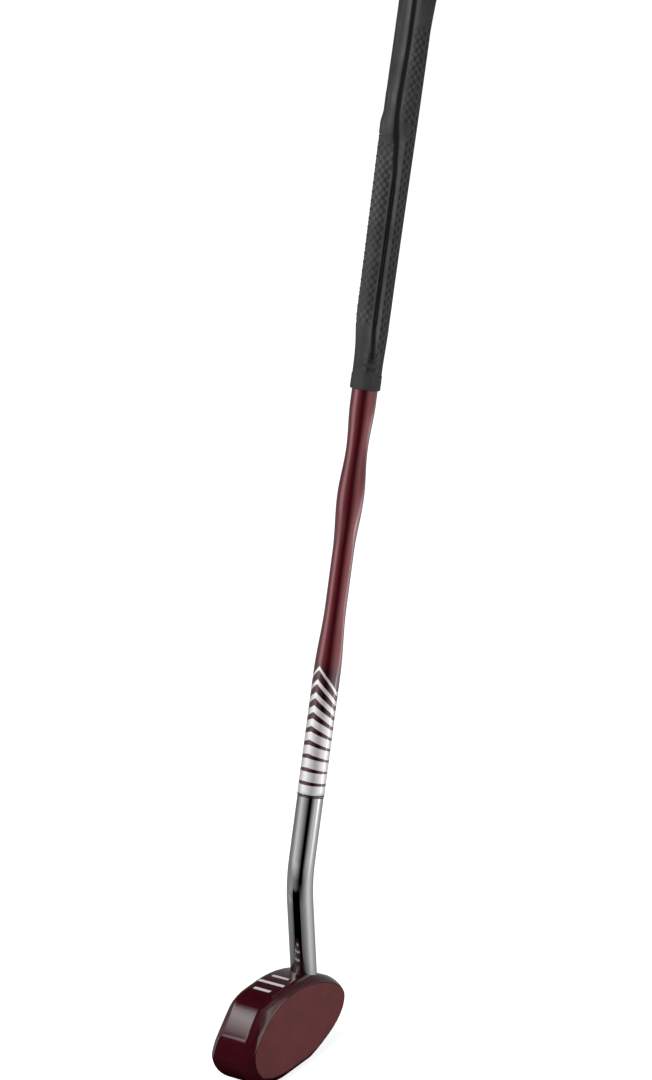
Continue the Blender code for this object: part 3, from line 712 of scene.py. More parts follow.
class CLUB_OT_face(bpy.types.Operator):
    """Build the matt striking sheet that is let into the front of the head"""

    bl_idname = "club.face"
    bl_label = "Face sheet"

    def execute(self, context):
        head = context.scene.club_head
        front = SHEET_LOW.y
        edge = head.sheet_edge
        rows = [spot_row(SHEET_MIDDLE, front, SHEET_WAIST_HEIGHT)]
        border = sheet_row(-edge, front)
        rows += [blended_row(rows[0], border, share, 1.0) for share in shares(6, 1)[:-1]]
        for share in shares(4):
            turn = QUARTER_TURN * share
            y = front + edge * (1.0 - math.cos(turn))
            rows.append(sheet_row(-edge * (1.0 - math.sin(turn)), y))
        rows.append(sheet_row(0.0, SHEET_HIGH.y))
        rows.append(spot_row(SHEET_MIDDLE, SHEET_HIGH.y, SHEET_WAIST_HEIGHT))
        surface = sheet_grain(context.scene.club_finish)
        finish_piece("club_face", skin(rows), surface, "face_sheet")
        return {"FINISHED"}


def satin_metal(name, colour, roughness, scale):
    """Machined metal with fine turning marks."""
    surface = Surface(name, metallic=1.0)
    place = surface.place()
    marks = surface.noise(surface.stretched(place, (1.0, 1.0, 6.0)), scale, detail=3.0)
    surface.feed("Base Color", surface.tones(marks, colour, 0.86, 1.10))
    surface.feed("Roughness", roughness - 0.08 + 0.16 * marks)
    surface.bump(marks, 0.00004, 0.4)
    return surface


def pill_row(centre, half_length, radius, z):
    """Row of places round a slot shape."""
    row = []
    for number in range(TUBE_POINTS):
        angle = FULL_TURN * (number + 0.5) / TUBE_POINTS
        side = half_length - radius if math.cos(angle) > 0.0 else radius - half_length
        across = side + radius * math.cos(angle)
        row.append(Vector((centre.x + across, centre.y + radius * math.sin(angle), z)))
    return row


# Rounding of the plate's lower edge, and the clearance round a screw's head
PLATE_EDGE = 0.0004
SCREW_CLEARANCE = 0.0003
# Heights of a screw's face, its countersink and its point, and the widths above the face as
# shares of the head's radius
SCREW_FACE = 0.0003
SINK_FOOT = -0.0010
SINK_FLARE = 0.0002
SINK_TOP = 0.0018
HOLE_TOP = 0.0040
HOLE_SHARE = 0.63
NECK_SHARE = 0.55
SHANK_SHARE = 0.52
SHANK_POINT = 0.0010
SCREW_ROUND = 0.0002
# Width, length and height of the block that cuts a screw's slot
SCREW_SLOT = (0.0008, 0.0200, 0.0014)


class CLUB_OT_sole(bpy.types.Operator):
    """Build the brass sole plate with rounded edges and its two slotted screws"""

    bl_idname = "club.sole"
    bl_label = "Sole plate and screws"

    def execute(self, context):
        low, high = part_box("sole_plate")
        half = 0.5 * (high - low)
        rows = []
        round_middle = ROUND_MIDDLE * PLATE_EDGE
        for inset, z in ((PLATE_EDGE, low.z), (round_middle, low.z + round_middle),
                         (0.0, low.z + PLATE_EDGE), (0.0, high.z)):
            rows.append(pill_row(middle("sole_plate"), half.x - inset, half.y - inset, z))
        bm = skin(rows)
        bmesh.ops.holes_fill(bm, edges=bm.edges)
        brass = satin_metal("sole brass", (0.57, 0.40, 0.17), 0.30, 900.0)
        plate = finish_piece("club_sole_plate", bm, brass, "sole_plate")
        for name in ("toe", "heel"):
            self.add_screw(name, plate)
        return {"FINISHED"}

    def add_screw(self, name, plate):
        """Countersunk screw in its recess of the plate."""
        node = "sole_screw_" + name
        low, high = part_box(node)
        radius = 0.5 * (high.x - low.x)
        place = middle(node)
        place.z = 0.0
        wide = radius + SCREW_CLEARANCE
        hole = turned([
            (0.0, HOLE_TOP), (radius * HOLE_SHARE, HOLE_TOP), (radius * HOLE_SHARE, SINK_TOP),
            (wide, SCREW_FACE), (wide + SINK_FLARE, SINK_FOOT), (0.0, SINK_FOOT)], SCREW_POINTS)
        bmesh.ops.translate(hole, verts=hole.verts, vec=place)
        cut_away(plate, hole)
        bm = turned(rounded_profile([
            (0.0, SCREW_FACE), (radius, SCREW_FACE), (radius * NECK_SHARE, SINK_TOP),
            (radius * SHANK_SHARE, high.z - SHANK_POINT), (0.0, high.z)], SCREW_ROUND),
            SCREW_POINTS)
        bmesh.ops.translate(bm, verts=bm.verts, vec=place)
        steel = satin_metal("screw steel " + name, (0.62, 0.60, 0.57), 0.28, 1500.0)
        screw = finish_piece("club_screw_" + name, bm, steel, node)
        slot = bmesh.new()
        bmesh.ops.create_cube(slot, size=1.0)
        bmesh.ops.scale(slot, verts=slot.verts, vec=SCREW_SLOT)
        place.z = SCREW_FACE
        bmesh.ops.translate(slot, verts=slot.verts, vec=place)
        cut_away(screw, slot)


def cut_away(piece, bm):
    """Take a shape out of a finished piece."""
    bmesh.ops.recalc_face_normals(bm, faces=bm.faces)
    cutter = new_object("cutter", bm)
    boolean = piece.modifiers.new("cut", "BOOLEAN")
    boolean.operation = "DIFFERENCE"
    boolean.object = cutter
    bpy.context.view_layer.update()
    evaluated = piece.evaluated_get(bpy.context.evaluated_depsgraph_get())
    solid = bpy.data.meshes.new_from_object(evaluated)
    piece.modifiers.clear()
    piece.data = solid
    solid.set_sharp_from_angle(angle=CUT_CREASE)
    bpy.data.objects.remove(cutter)


def plated(finish):
    """Dark chrome plating with faint polishing haze."""
    surface = Surface("neck plating", metallic=1.0)
    place = surface.place()
    haze = surface.noise(surface.stretched(place, (60.0, 60.0, 12.0)), 3.0, detail=4.0)
    surface.feed("Base Color", surface.tones(haze, finish.plating, 0.94, 1.06))
    surface.feed("Roughness", 0.035 + 0.05 * haze)
    return surface


# Radius of the neck's bend, along the tube's axis, and rounding of its upper end
NECK_BEND = 0.1000
NECK_EDGE = 0.0004
# Steps along the neck below its bend, in the bend and above it
NECK_STEPS = (24, 40, 12)


class CLUB_OT_neck(bpy.types.Operator):
    """Build the bent plated tube that stands in the head and carries the shaft"""

    bl_idname = "club.neck"
    bl_label = "Neck tube"

    def execute(self, context):
        low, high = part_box("neck_tube")
        foot = middle("neck_plug")
        radius = 0.5 * (high.y - low.y)
        _, top = stretch("neck_tube")
        reach = NECK_BEND * math.tan(0.5 * LEAN)
        bend_foot = CORNER.z - reach
        path = []
        below, bent, above = NECK_STEPS
        for share in shares(below)[:-1]:
            path.append((Vector((foot.x, foot.y, low.z + (bend_foot - low.z) * share)), 0.0))
        for share in shares(bent):
            tilt = LEAN * share
            x = foot.x + NECK_BEND * (1.0 - math.cos(tilt))
            path.append((Vector((x, foot.y, bend_foot + NECK_BEND * math.sin(tilt))), tilt))
        for share in shares(above, 1):
            path.append((SHAFT @ Vector((0.0, 0.0, reach + (top - reach) * share)), LEAN))
        rows = [(path[0][0], 0.0, 0.0)]
        rows += [(spot, tilt, radius) for spot, tilt in path[:-1]]
        rows += [(SHAFT @ Vector((0.0, 0.0, top - NECK_EDGE)), LEAN, radius)]
        rows += [(path[-1][0], LEAN, radius - NECK_EDGE), (path[-1][0], LEAN, 0.0)]

        def place(number, row):
            centre, tilt, size = rows[row]
            angle = FULL_TURN * number / TUBE_POINTS
            across = math.cos(angle) * Vector((math.cos(tilt), 0.0, -math.sin(tilt)))
            return centre + size * (across + Vector((0.0, math.sin(angle), 0.0)))

        bm = wrapped(TUBE_POINTS, len(rows), place)
        surface = plated(context.scene.club_finish)
        finish_piece("club_neck", bm, surface, "neck_tube")
        return {"FINISHED"}


# Rounding of the ring's edges
RING_ROUND = 0.00025


class CLUB_OT_ring(bpy.types.Operator):
    """Build the dark ring between the plated tube and the shaft"""

    bl_idname = "club.ring"
    bl_label = "Joint ring"

    def execute(self, context):
        bottom, top = stretch("joint_ring")
        top -= JOINT_DROP
        outer = OuterSkin("joint_ring").largest()
        corners = [(0.0, bottom), (outer, bottom), (outer, top), (0.0, top)]
        bm = on_shaft(turned(rounded_profile(corners, RING_ROUND), TUBE_POINTS))
        surface = Surface("ring lacquer", coat_weight=1.0, coat_roughness=0.04, coat_ior=1.8,
                          roughness=0.3)
        cloud = surface.noise(surface.place(), 300.0)
        lacquer = context.scene.club_finish.lacquer
        surface.feed("Base Color", surface.tones(cloud, lacquer, 0.45, 0.70))
        finish_piece("club_ring", bm, surface, "joint_ring")
        return {"FINISHED"}


class SmoothCurve:
    """Smooth curve through (place, value) points that never swings past them."""

    def __init__(self, points):
        self.places = [place for place, _ in points]
        self.values = [value for _, value in points]
        runs = [high - low for low, high in zip(self.places, self.places[1:])]
        climbs = [high - low for low, high in zip(self.values, self.values[1:])]
        steep = [climb / run for climb, run in zip(climbs, runs)]
        self.slopes = [0.0]
        for before, after in zip(steep, steep[1:]):
            even = 2.0 * before * after / (before + after) if before * after > 0.0 else 0.0
            self.slopes.append(even)
        self.slopes.append(0.0)

    def at(self, place):
        """Value of the curve at a place."""
        place = min(max(place, self.places[0]), self.places[-1])
        index = min(bisect.bisect_right(self.places, place), len(self.places) - 1) - 1
        run = self.places[index + 1] - self.places[index]
        share = (place - self.places[index]) / run
        rise = share * share * (3.0 - 2.0 * share)
        leave = share * (1.0 - share) * (1.0 - share) * run
        arrive = share * share * (1.0 - share) * run
        return (self.values[index] * (1.0 - rise) + self.values[index + 1] * rise
                + self.slopes[index] * leave - self.slopes[index + 1] * arrive)


def grouped(items, tolerance):
    """Runs of sorted items whose first values lie within a tolerance."""
    groups = []
    for item in sorted(items):
        if groups and item[0] - groups[-1][0][0] < tolerance:
            groups[-1].append(item)
        else:
            groups.append([item])
    return groups


# How far a face of a node has to look away from the axis to count as its outer surface
OUTWARD = 0.3
# Corners closer than this share a ring, in metres, or a place round it, in radians
RING_GAP = 0.00003
CORNER_GAP = 0.002


class OuterSkin:
    """Outer surface of a node on the shaft, read from the corners of its outward faces."""

    def __init__(self, node):
        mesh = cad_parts[node].data
        inverse = SHAFT.inverted()
        turn = inverse.to_3x3()
        corners = []
        for polygon in mesh.polygons:
            centre = (inverse @ polygon.center).xy.normalized()
            if centre.dot((turn @ polygon.normal).xy) < OUTWARD:
                continue
            for index in polygon.vertices:
                spot = inverse @ mesh.vertices[index].co
                angle = math.atan2(spot.y, spot.x) % FULL_TURN
                angle = 0.0 if FULL_TURN - angle < CORNER_GAP else angle
                corners.append((spot.z, angle, math.hypot(spot.x, spot.y)))
        self.rings = []
        for ring in grouped(corners, RING_GAP):
            spots = grouped([(angle, radius) for _, angle, radius in ring], CORNER_GAP)
            outermost = [max(spot, key=lambda place: place[1]) for spot in spots]
            self.rings.append((ring[0][0], outermost))

    def along(self, angle):
        """Curve of the radius along the shaft at one angle."""
        return SmoothCurve([(station, self.around(ring).at(angle)) for station, ring in self.rings])

    def around(self, ring):
        """Curve of the radius round one ring, run on past a full turn at both ends."""
        before = [(angle - FULL_TURN, radius) for angle, radius in ring[-2:]]
        after = [(angle + FULL_TURN, radius) for angle, radius in ring[:2]]
        return SmoothCurve(before + ring + after)

    def largest(self):
        """Largest radius of all rings."""
        return max(radius for _, ring in self.rings for _, radius in ring)


# How fast the chevrons level out and widen from the highest to the lowest
SLOPE_POWER = 1.45
GROWTH_POWER = 1.6
# Where the wine lacquer turns darker behind the chevrons, above and below the highest tip
DARK_START = 0.006
DARK_END = -0.004


def chevrons(surface, place, stripe):
    """1 on the painted chevrons: their arms fall away from the tips and run level at the back."""
    inputs = {0: place, 1: (1.0, 1.0, 0.0)}
    flat = surface.node("ShaderNodeVectorMath", {"operation": "MULTIPLY"}, inputs)
    around = surface.node("ShaderNodeVectorMath", {"operation": "NORMALIZE"}, {0: flat})
    tip = (math.cos(stripe.angle), math.sin(stripe.angle), 0.0)
    away = around.dot(tip).math("MINIMUM", 1.0).math("MAXIMUM", -1.0).math("ARCCOSINE")
    fold = away.math("MINIMUM", stripe.reach)
    station = place.part("Z")
    lines = []
    for number in range(stripe.count):
        share = 1.0 - number / (stripe.count - 1)
        level = station + fold * (stripe.slope * share ** SLOPE_POWER)
        half_width = 0.5 * (stripe.width + stripe.growth * (1.0 - share ** GROWTH_POWER))
        tip_station = SHAFT_FOOT + stripe.top - stripe.pitch * number
        lines.append(level.band(tip_station, half_width, PAINT_EDGE))
    return joined(lines, "MAXIMUM")


def shaft_lacquer(finish, stripe):
    """Wine lacquer that shines through to metal, with painted white chevrons under the gloss."""
    surface = Surface("shaft lacquer", coat_weight=1.0, coat_roughness=0.05, coat_ior=1.6)
    place = surface.shaft_place()
    paint = chevrons(surface, place, stripe)
    cloud = surface.noise(surface.stretched(place, (1.0, 1.0, 0.12)), 160.0, detail=3.0)
    wine = surface.tones(cloud, finish.shaft, 0.86, 1.14)
    tip = SHAFT_FOOT + stripe.top
    deep = between(place.part("Z"), tip + DARK_START, tip + DARK_END)
    wine = surface.mix(0.9 * deep, wine, shaded(finish.shaft, 0.28))
    surface.feed("Base Color", surface.mix(paint, wine, finish.paint))
    surface.feed("Metallic", 0.80 - 0.22 * paint)
    surface.feed("Roughness", 0.35 + 0.06 * cloud + 0.04 * paint)
    return surface


# Rounding of the shaft's foot, and steps along the shaft
SHAFT_EDGE = 0.0002
SHAFT_STEPS = 260


class CLUB_OT_shaft(bpy.types.Operator):
    """Build the lacquered shaft with its waists, swell and chevrons"""

    bl_idname = "club.shaft"
    bl_label = "Shaft"

    def execute(self, context):
        curve = OuterSkin("shaft_tube").along(0.0)
        edge = SHAFT_EDGE
        foot = SHAFT_FOOT - JOINT_DROP
        outer = []
        for share in shares(SHAFT_STEPS):
            station = foot + edge + (SHAFT_END - foot - edge) * share
            outer.append((curve.at(station), station))
        radius = outer[0][0]
        round_middle = ROUND_MIDDLE * edge
        corners = [(0.0, foot), (radius - edge, foot), (radius - round_middle, foot + round_middle)]
        corners += outer + [(0.0, SHAFT_END)]
        surface = shaft_lacquer(context.scene.club_finish, context.scene.club_stripe)
        bm = on_shaft(turned(corners, TUBE_POINTS))
        finish_piece("club_shaft", bm, surface, "shaft_tube")
        return {"FINISHED"}


def nearest(rise, rises, pitch, index):
    """Distance to the nearest place of a column whose places are spaced by a pitch.

    Every second column is shifted by half a pitch.
    """
    first, last = rises
    start = first + 0.5 * pitch * (index % 2)
    centre = start + round((rise - start) / pitch) * pitch
    return abs(rise - centre) if first <= centre <= last else pitch


# How full a dot's profile is, and where the side and the tip of a slot start and end to rise, in
# millimetres from its middle
DOT_FULLNESS = 2.5
SLOT_SIDE = (0.35, 0.95)
SLOT_TIP = (1.4, 2.2)


def dots(degrees, rise, columns, rises, grip, radius):
    """Height of staggered round dots in columns at angles away from the pad's middle."""
    height = 0.0
    for index, column in enumerate(columns):
        sideways = math.radians(abs(degrees - column)) * radius
        if sideways < grip.dot_radius:
            along = nearest(rise, rises, grip.dot_pitch / MM, index) * MM
            distance = min(math.hypot(sideways, along) / grip.dot_radius, 1.0)
            height = max(height, math.sqrt(1.0 - distance ** DOT_FULLNESS))
    return height * grip.dot_height


def slots(degrees, rise, columns, rises, grip, radius):
    """Depth of short upright slots in staggered columns."""
    depth = 0.0
    for index, column in enumerate(columns):
        sideways = math.radians(abs(degrees - column)) * radius / MM
        along = nearest(rise, rises, grip.slot_pitch / MM, index)
        across = 1.0 - ease(*SLOT_SIDE, sideways)
        depth = max(depth, across * (1.0 - ease(*SLOT_TIP, along)))
    return depth * grip.slot_depth


# The grip's detail is measured in millimetres above its foot, called rises, and in degrees from
# the middle of the finger pad.  Side grooves: rise, angle of the middle and half span.
GROOVE_ROUTE = (
    (0.0, 74.0, 19.0), (45.0, 67.0, 12.5), (150.0, 67.0, 12.5), (197.0, 48.0, 15.0),
    (253.0, 56.0, 12.5))
DOT_COLUMNS = (4.0, 15.0, 26.0, 37.0, 48.0)
DOT_COLUMN_STEP = 11.0
SLOT_COLUMNS = (94.0, 110.0, 126.0, 142.0, 158.0, 174.0)
# Lowest and highest rise of the dots on the pad and above it, and of the slots beside them
PAD_DOTS = (49.0, 175.0)
UPPER_DOTS = (191.0, 256.0)
PAD_SLOTS = (26.0, 178.0)
UPPER_SLOTS = (184.0, 258.0)
# Bed of the upper dots: its depth in metres, its far side and its rises with their soft edge
UPPER_BED = 0.00025
UPPER_SIDE = 106.0
UPPER_RISES = (190.0, 257.0, 1.5)
# Thin rib in each side groove: half its span, and its rises with their soft edge
RIB_HALF = 1.2
RIB_RISES = (50.0, 142.0, 9.0)
# Moulded bands: height in millimetres, and where they lie in rise and in angle, each with its low
# end, high end and soft edge
ALL_ROUND = (0.0, 180.0, 1.0)
PLATE_SPAN = (59.0, 93.0, 3.0)
GRIP_BANDS = (
    (-0.35, (11.0, 11.6, 0.5), ALL_ROUND),  # lines round the lip
    (-0.15, (7.8, 8.2, 0.5), ALL_ROUND),
    (-0.50, (14.0, 26.0, 0.8), PLATE_SPAN),  # sunk plate at each side, with two ribs
    (0.55, (16.6, 18.8, 0.7), PLATE_SPAN),
    (0.45, (21.8, 22.4, 0.6), PLATE_SPAN),
    (0.12, (30.0, 176.0, 6.0), (81.0, 87.0, 3.0)),  # low ridge behind the side groove
    (-0.45, (178.8, 179.6, 0.5), (0.0, 46.0, 3.0)),  # line across the pad
    (-0.32, (47.0, 177.0, 1.5), (0.0, 52.0, 3.0)),  # bed of the pad's dots
    (0.20, (186.0, 208.0, 4.0), (8.5, 9.5, 3.0)),  # ribs where the pad ends
    (0.20, (186.0, 208.0, 4.0), (24.5, 25.5, 3.0)),
)


def groove_route(rise):
    """Angle and half span of a side groove at a rise above the grip's foot."""
    for (low, angle, span), (high, next_angle, next_span) in zip(GROOVE_ROUTE, GROOVE_ROUTE[1:]):
        if rise <= high:
            share = ease(low, high, rise)
            return angle + (next_angle - angle) * share, span + (next_span - span) * share
    return GROOVE_ROUTE[-1][1:]


def grip_relief(angle, station, radius, grip):
    """Moulded relief of the grip on top of its CAD form: rings, ribs, dots and slots.

    Its two sides mirror each other about the plane through the pad's middle.
    """
    degrees = math.degrees(abs((angle - grip.axis_angle + math.pi) % FULL_TURN - math.pi))
    rise = (station - GRIP_FOOT) / MM
    relief = 0.0
    for height, rises, span in GRIP_BANDS:
        relief += height * MM * plateau(*rises, rise) * plateau(*span, degrees)
    groove, half_span = groove_route(rise)
    rib = plateau(groove - RIB_HALF, groove + RIB_HALF, 2.4, degrees) * plateau(*RIB_RISES, rise)
    relief += grip.rib_height * rib
    relief += dots(degrees, rise, DOT_COLUMNS, PAD_DOTS, grip, radius)
    edge = groove + half_span
    upper = plateau(edge + 1.0, UPPER_SIDE, 2.0, degrees) * plateau(*UPPER_RISES, rise)
    columns = [edge + 4.0 + DOT_COLUMN_STEP * index for index in range(4)]
    relief += upper * (dots(degrees, rise, columns, UPPER_DOTS, grip, radius) - UPPER_BED)
    relief -= slots(degrees, rise, SLOT_COLUMNS, PAD_SLOTS, grip, radius)
    relief -= slots(degrees, rise, SLOT_COLUMNS[1:], UPPER_SLOTS, grip, radius)
    return relief


def moulded_rubber(name, finish):
    """Charcoal rubber with a dusty bloom and pebble, painted shade in hollows, wear and painted
    highlight on dots.
    """
    surface = Surface(name, specular_ior_level=0.30)
    place = surface.shaft_place()
    streak = surface.noise(surface.stretched(place, (1.0, 1.0, 0.10)), 300.0, detail=3.0)
    cloud = surface.noise(place, 70.0, detail=3.0)
    pebble = surface.cells(place, 1400.0)
    tone = surface.ramp(streak * 0.5 + cloud * 0.5, (0.32, 0.0), (0.70, 1.0))
    rubber = surface.tones(tone, finish.rubber, 0.60, 1.42)
    standing = surface.node("ShaderNodeAttribute", {"attribute_name": "standing"}, {}, "Fac")
    # How far a point sits in a hollow or stands on a dot, which drives painted shade and painted
    # highlight
    low = (-1.0 * standing).math("ADD", 0.0, clamp=True)
    high = standing.math("ADD", 0.0, clamp=True)
    # Share of each raised dot that is lightened: partly wear, partly painted highlight
    wear_and_highlight = surface.ramp(surface.noise(place, 45.0), (0.40, 0.35), (0.62, 1.0))
    # Painted shade: the hollows of the grooves and slots are darkened to a tenth of the rubber
    rubber = surface.mix(0.90 * low, rubber, shaded(finish.rubber, 0.10))
    # Painted highlight with wear: raised dots and ribs are lightened
    rubber = surface.mix(wear_and_highlight * high, rubber, shaded(finish.rubber, 2.4))
    surface.feed("Base Color", rubber)
    surface.feed("Roughness", 0.50 + 0.16 * tone + 0.10 * low - 0.10 * high)
    surface.bump(pebble * 0.6 + streak * 0.4, 0.00012, 0.5)
    return surface


def standing_out(row, reach):
    """How far each radius of a row stands out from the mean of its neighbours, in millimetres."""
    count = len(row)
    span = 2 * reach + 1
    total = sum(row[number % count] for number in range(-reach, reach + 1))
    heights = []
    for number, radius in enumerate(row):
        heights.append((radius - total / span) / MM)
        total += row[(number + reach + 1) % count] - row[(number - reach) % count]
    return heights


# Rounding of the grip's foot, and steps along the grip
GRIP_EDGE = 0.0005
GRIP_STEPS = 590
# Rows that close the grip's skin at each end
GRIP_ENDS = 2
# Neighbours on each side against which a point's relief is judged, and how strongly it shows
RELIEF_REACH = 9
RELIEF_GAIN = 3.0


class CLUB_OT_grip(bpy.types.Operator):
    """Build the moulded rubber grip"""

    bl_idname = "club.grip"
    bl_label = "Grip"

    def execute(self, context):
        grip = context.scene.club_grip
        outer = OuterSkin("grip_sleeve")
        angles = [FULL_TURN * number / GRIP_POINTS for number in range(GRIP_POINTS)]
        curves = [outer.along(angle) for angle in angles]
        closed = [0.0] * GRIP_POINTS
        border = [curve.at(GRIP_FOOT) - GRIP_EDGE for curve in curves]
        rows = [(GRIP_FOOT, closed), (GRIP_FOOT, border)]
        for share in shares(GRIP_STEPS):
            station = GRIP_FOOT + GRIP_EDGE + (GRIP_END - GRIP_FOOT - GRIP_EDGE) * share
            row = []
            for angle, curve in zip(angles, curves):
                radius = curve.at(station)
                row.append(radius + grip_relief(angle, station, radius, grip))
            rows.append((station, row))
        rows.append((GRIP_END, closed))

        def place(number, row):
            station, radii = rows[row]
            x, y = math.cos(angles[number]), math.sin(angles[number])
            return Vector((radii[number] * x, radii[number] * y, station))

        bm = on_shaft(wrapped(GRIP_POINTS, len(rows), place))
        surface = moulded_rubber("grip rubber", context.scene.club_finish)
        piece = finish_piece("club_grip", bm, surface, "grip_sleeve")
        self.mark_relief(piece.data, rows)
        return {"FINISHED"}

    def mark_relief(self, mesh, rows):
        """Keep how far each point stands out from its surroundings, for painted shade, painted
        highlight and wear.
        """
        relief = mesh.attributes.new("standing", "FLOAT", "POINT")
        inverse = SHAFT.inverted()
        heights = [standing_out(radii, RELIEF_REACH) for _, radii in rows]
        start = rows[GRIP_ENDS][0]
        run = (GRIP_END - start) / (len(rows) - 2 * GRIP_ENDS)
        for index, vertex in enumerate(mesh.vertices):
            spot = inverse @ vertex.co
            row = round((spot.z - start) / run) + GRIP_ENDS
            row = min(max(row, GRIP_ENDS), len(rows) - GRIP_ENDS)
            angle = math.atan2(spot.y, spot.x) % FULL_TURN
            number = round(angle / FULL_TURN * GRIP_POINTS) % GRIP_POINTS
            relief.data[index].value = RELIEF_GAIN * heights[row][number]


# Rounding of the cap's rim, and the radius that its share is taken of
CAP_EDGE = 0.00178
CAP_RADIUS = 0.0149
# Top of the cap from its rim to its middle: share of its radius, and depth below its rim
CAP_TOP = (
    (0.80, 0.0), (0.78, 0.0), (0.76, 0.0004), (0.70, 0.0004), (0.68, 0.0), (0.20, 0.0), (0.17, 0.0),
    (0.15, 0.0006), (0.12, 0.0006), (0.10, 0.0001), (0.075, 0.0), (0.066, 0.0002), (0.064, 0.0020),
    (0.0, 0.0020))


class CLUB_OT_butt_cap(bpy.types.Operator):
    """Build the cap over the butt of the grip, with a moulded ring and a vent"""

    bl_idname = "club.butt_cap"
    bl_label = "Butt cap"

    def execute(self, context):
        outer = OuterSkin("butt_cap")
        # The stem's rings are narrower than the disc's
        wide = 0.95 * outer.largest()
        bottom, border = next(
            ring for ring in outer.rings if max(radius for _, radius in ring[1]) > wide)
        border = outer.around(border)
        _, top = stretch("butt_cap")
        levels = [(0.0, bottom), (1.0, bottom), (1.0, top - CAP_EDGE)]
        for share in shares(6, 1):
            turn = QUARTER_TURN * share
            inset = CAP_EDGE * (1.0 - math.cos(turn)) / CAP_RADIUS
            levels.append((1.0 - inset, top - CAP_EDGE + CAP_EDGE * math.sin(turn)))
        levels += [(share, top - dip) for share, dip in CAP_TOP]

        def place(number, row):
            share, station = levels[row]
            angle = FULL_TURN * number / TUBE_POINTS
            radius = share * border.at(angle)
            return Vector((radius * math.cos(angle), radius * math.sin(angle), station))

        bm = on_shaft(wrapped(TUBE_POINTS, len(levels), place))
        surface = moulded_rubber("cap rubber", context.scene.club_finish)
        finish_piece("club_butt_cap", bm, surface, "butt_cap")
        return {"FINISHED"}


class CLUB_OT_inner_parts(bpy.types.Operator):
    """Finish the pieces inside the club, which keep their CAD shapes"""

    bl_idname = "club.inner_parts"
    bl_label = "Inner parts"

    def execute(self, context):
        rubber = Surface("plug rubber", roughness=0.7)
        cloud = rubber.noise(rubber.place(), 400.0)
        rubber.feed("Base Color", rubber.mix(cloud, (0.020, 0.020, 0.021), (0.040, 0.040, 0.042)))
        tape = Surface("tape cloth", roughness=0.9)
        weave = tape.noise(tape.stretched(tape.place(), (1.0, 1.0, 3.0)), 1800.0)
        tape.feed("Base Color", tape.mix(weave, (0.42, 0.39, 0.33), (0.62, 0.59, 0.52)))
        finishes = {
            "neck_plug": rubber,
            "grip_tape": tape,
            "head_weight": satin_metal("weight steel", (0.32, 0.32, 0.33), 0.42, 600.0),
            "joint_spigot": satin_metal("spigot aluminium", (0.60, 0.61, 0.62), 0.35, 700.0),
        }
        for node, surface in finishes.items():
            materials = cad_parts[node].data.materials
            materials.clear()
            materials.append(surface.material)
        return {"FINISHED"}


CLUB_MIDDLE = 0.5 * (cad_low + cad_high)
# The round room: its radius, the heights of its foot and top, and the points round it
ROOM_RADIUS = 1.5
ROOM_FOOT = -1.2
ROOM_TOP = 2.4
ROOM_POINTS = 72
# The room is dark below the first height, and fully lit from the second on
ROOM_DARK = (-0.72, -0.69)
# Soft panels of the room.  Round it, in degrees to the right of the camera's side: middle, half
# width and soft edge.  Up it, in metres: middle, half height and soft edge.  Then how bright.
ROOM_PANELS = (
    ((-92, 23, 56), (-0.51, 0.09, 0.36), 1.05),  # left, low
    ((-65, 38, 42), (0.25, 0.08, 0.45), 1.06),  # left, at the club's middle
    ((-82, 18, 22), (0.68, 0.29, 0.15), 1.52),  # left, narrow and high
    ((-78, 28, 77), (0.98, 1.33, 0.15), 0.69),  # left, whole height
    ((-82, 36, 50), (1.82, 0.12, 0.21), 1.91),  # left, under the ceiling
    ((72, 32, 58), (-0.45, 0.43, 0.53), 1.16),  # right, low
    ((100, 26, 21), (-0.25, 0.08, 0.21), 2.05),  # right, low strip
    ((86, 9, 4), (-0.25, 0.03, 0.03), 4.43),  # right, thin bright line
    ((58, 19, 53), (0.40, 0.52, 0.23), 1.11),  # right, at the club's middle
    ((84, 42, 77), (1.48, 0.80, 0.21), 0.27),  # right, high
    ((8, 18, 37), (-0.63, 0.22, 0.52), 0.35),  # beside the camera, low
    ((163, 80, 83), (-0.58, 0.79, 1.40), 0.44),  # behind the club
)


def camera_side():
    """Direction from the club to the camera, as an angle from +X."""
    return 1.5 * math.pi - bpy.context.scene.club_stage.azimuth


def between(value, low, high):
    """0 below low, 1 above high and even between, for a wire."""
    return ((value - low) / (high - low)).math("ADD", 0.0, clamp=True)


def bare_material(name):
    """Material without a shader, and its node tree."""
    material = new_material(name)
    tree = material.node_tree
    tree.nodes.remove(tree.nodes["Principled BSDF"])
    return material, tree


def room_panels():
    """Walls that glow with the soft panels and are dark between them."""
    material, tree = bare_material("room")
    place = add_node(tree, "ShaderNodeTexCoord", {}, {}, "Object")
    inputs = {"Vector": place, "Rotation": (0.0, 0.0, camera_side())}
    place = add_node(tree, "ShaderNodeMapping", {"vector_type": "TEXTURE"}, inputs)
    side = place.part("Y").math("ARCTAN2", place.part("X")) * math.degrees(1.0)
    height = place.part("Z")
    panels = []
    for (centre, half_width, soft), rise, level in ROOM_PANELS:
        away = (side - centre).math("WRAP", 180.0, -180.0)
        panels.append(away.band(0.0, half_width, soft) * height.band(*rise) * level)
    glow = joined(panels, "ADD") * between(height, *ROOM_DARK)
    show(tree, add_node(tree, "ShaderNodeEmission", {}, {"Strength": glow}))
    return material


def only_in_reflections(item):
    """Hide an object of the stage from every ray but those of gloss."""
    item.visible_camera = False
    item.visible_diffuse = False
    item.visible_transmission = False
    item.visible_volume_scatter = False
    item.visible_shadow = False


# Half the floor's width, and its height, a hair below the sole
FLOOR_SIZE = 12.0
FLOOR_HEIGHT = -0.0002
# Foot of a black card, and how far below its top it starts and ends to fade out
FLAG_FOOT = -0.10
FLAG_FADE = (0.015, 0.005)
# Black cards round the toe: X and Y of both ends, and the height of the top
FLAGS = {
    "flag_toe": ((-0.088, 0.060), (-0.094, -0.060), 0.112),
    "flag_front": ((-0.094, -0.060), (-0.055, -0.060), 0.112),
    "flag_low": ((-0.055, -0.060), (-0.010, -0.060), 0.045),
}
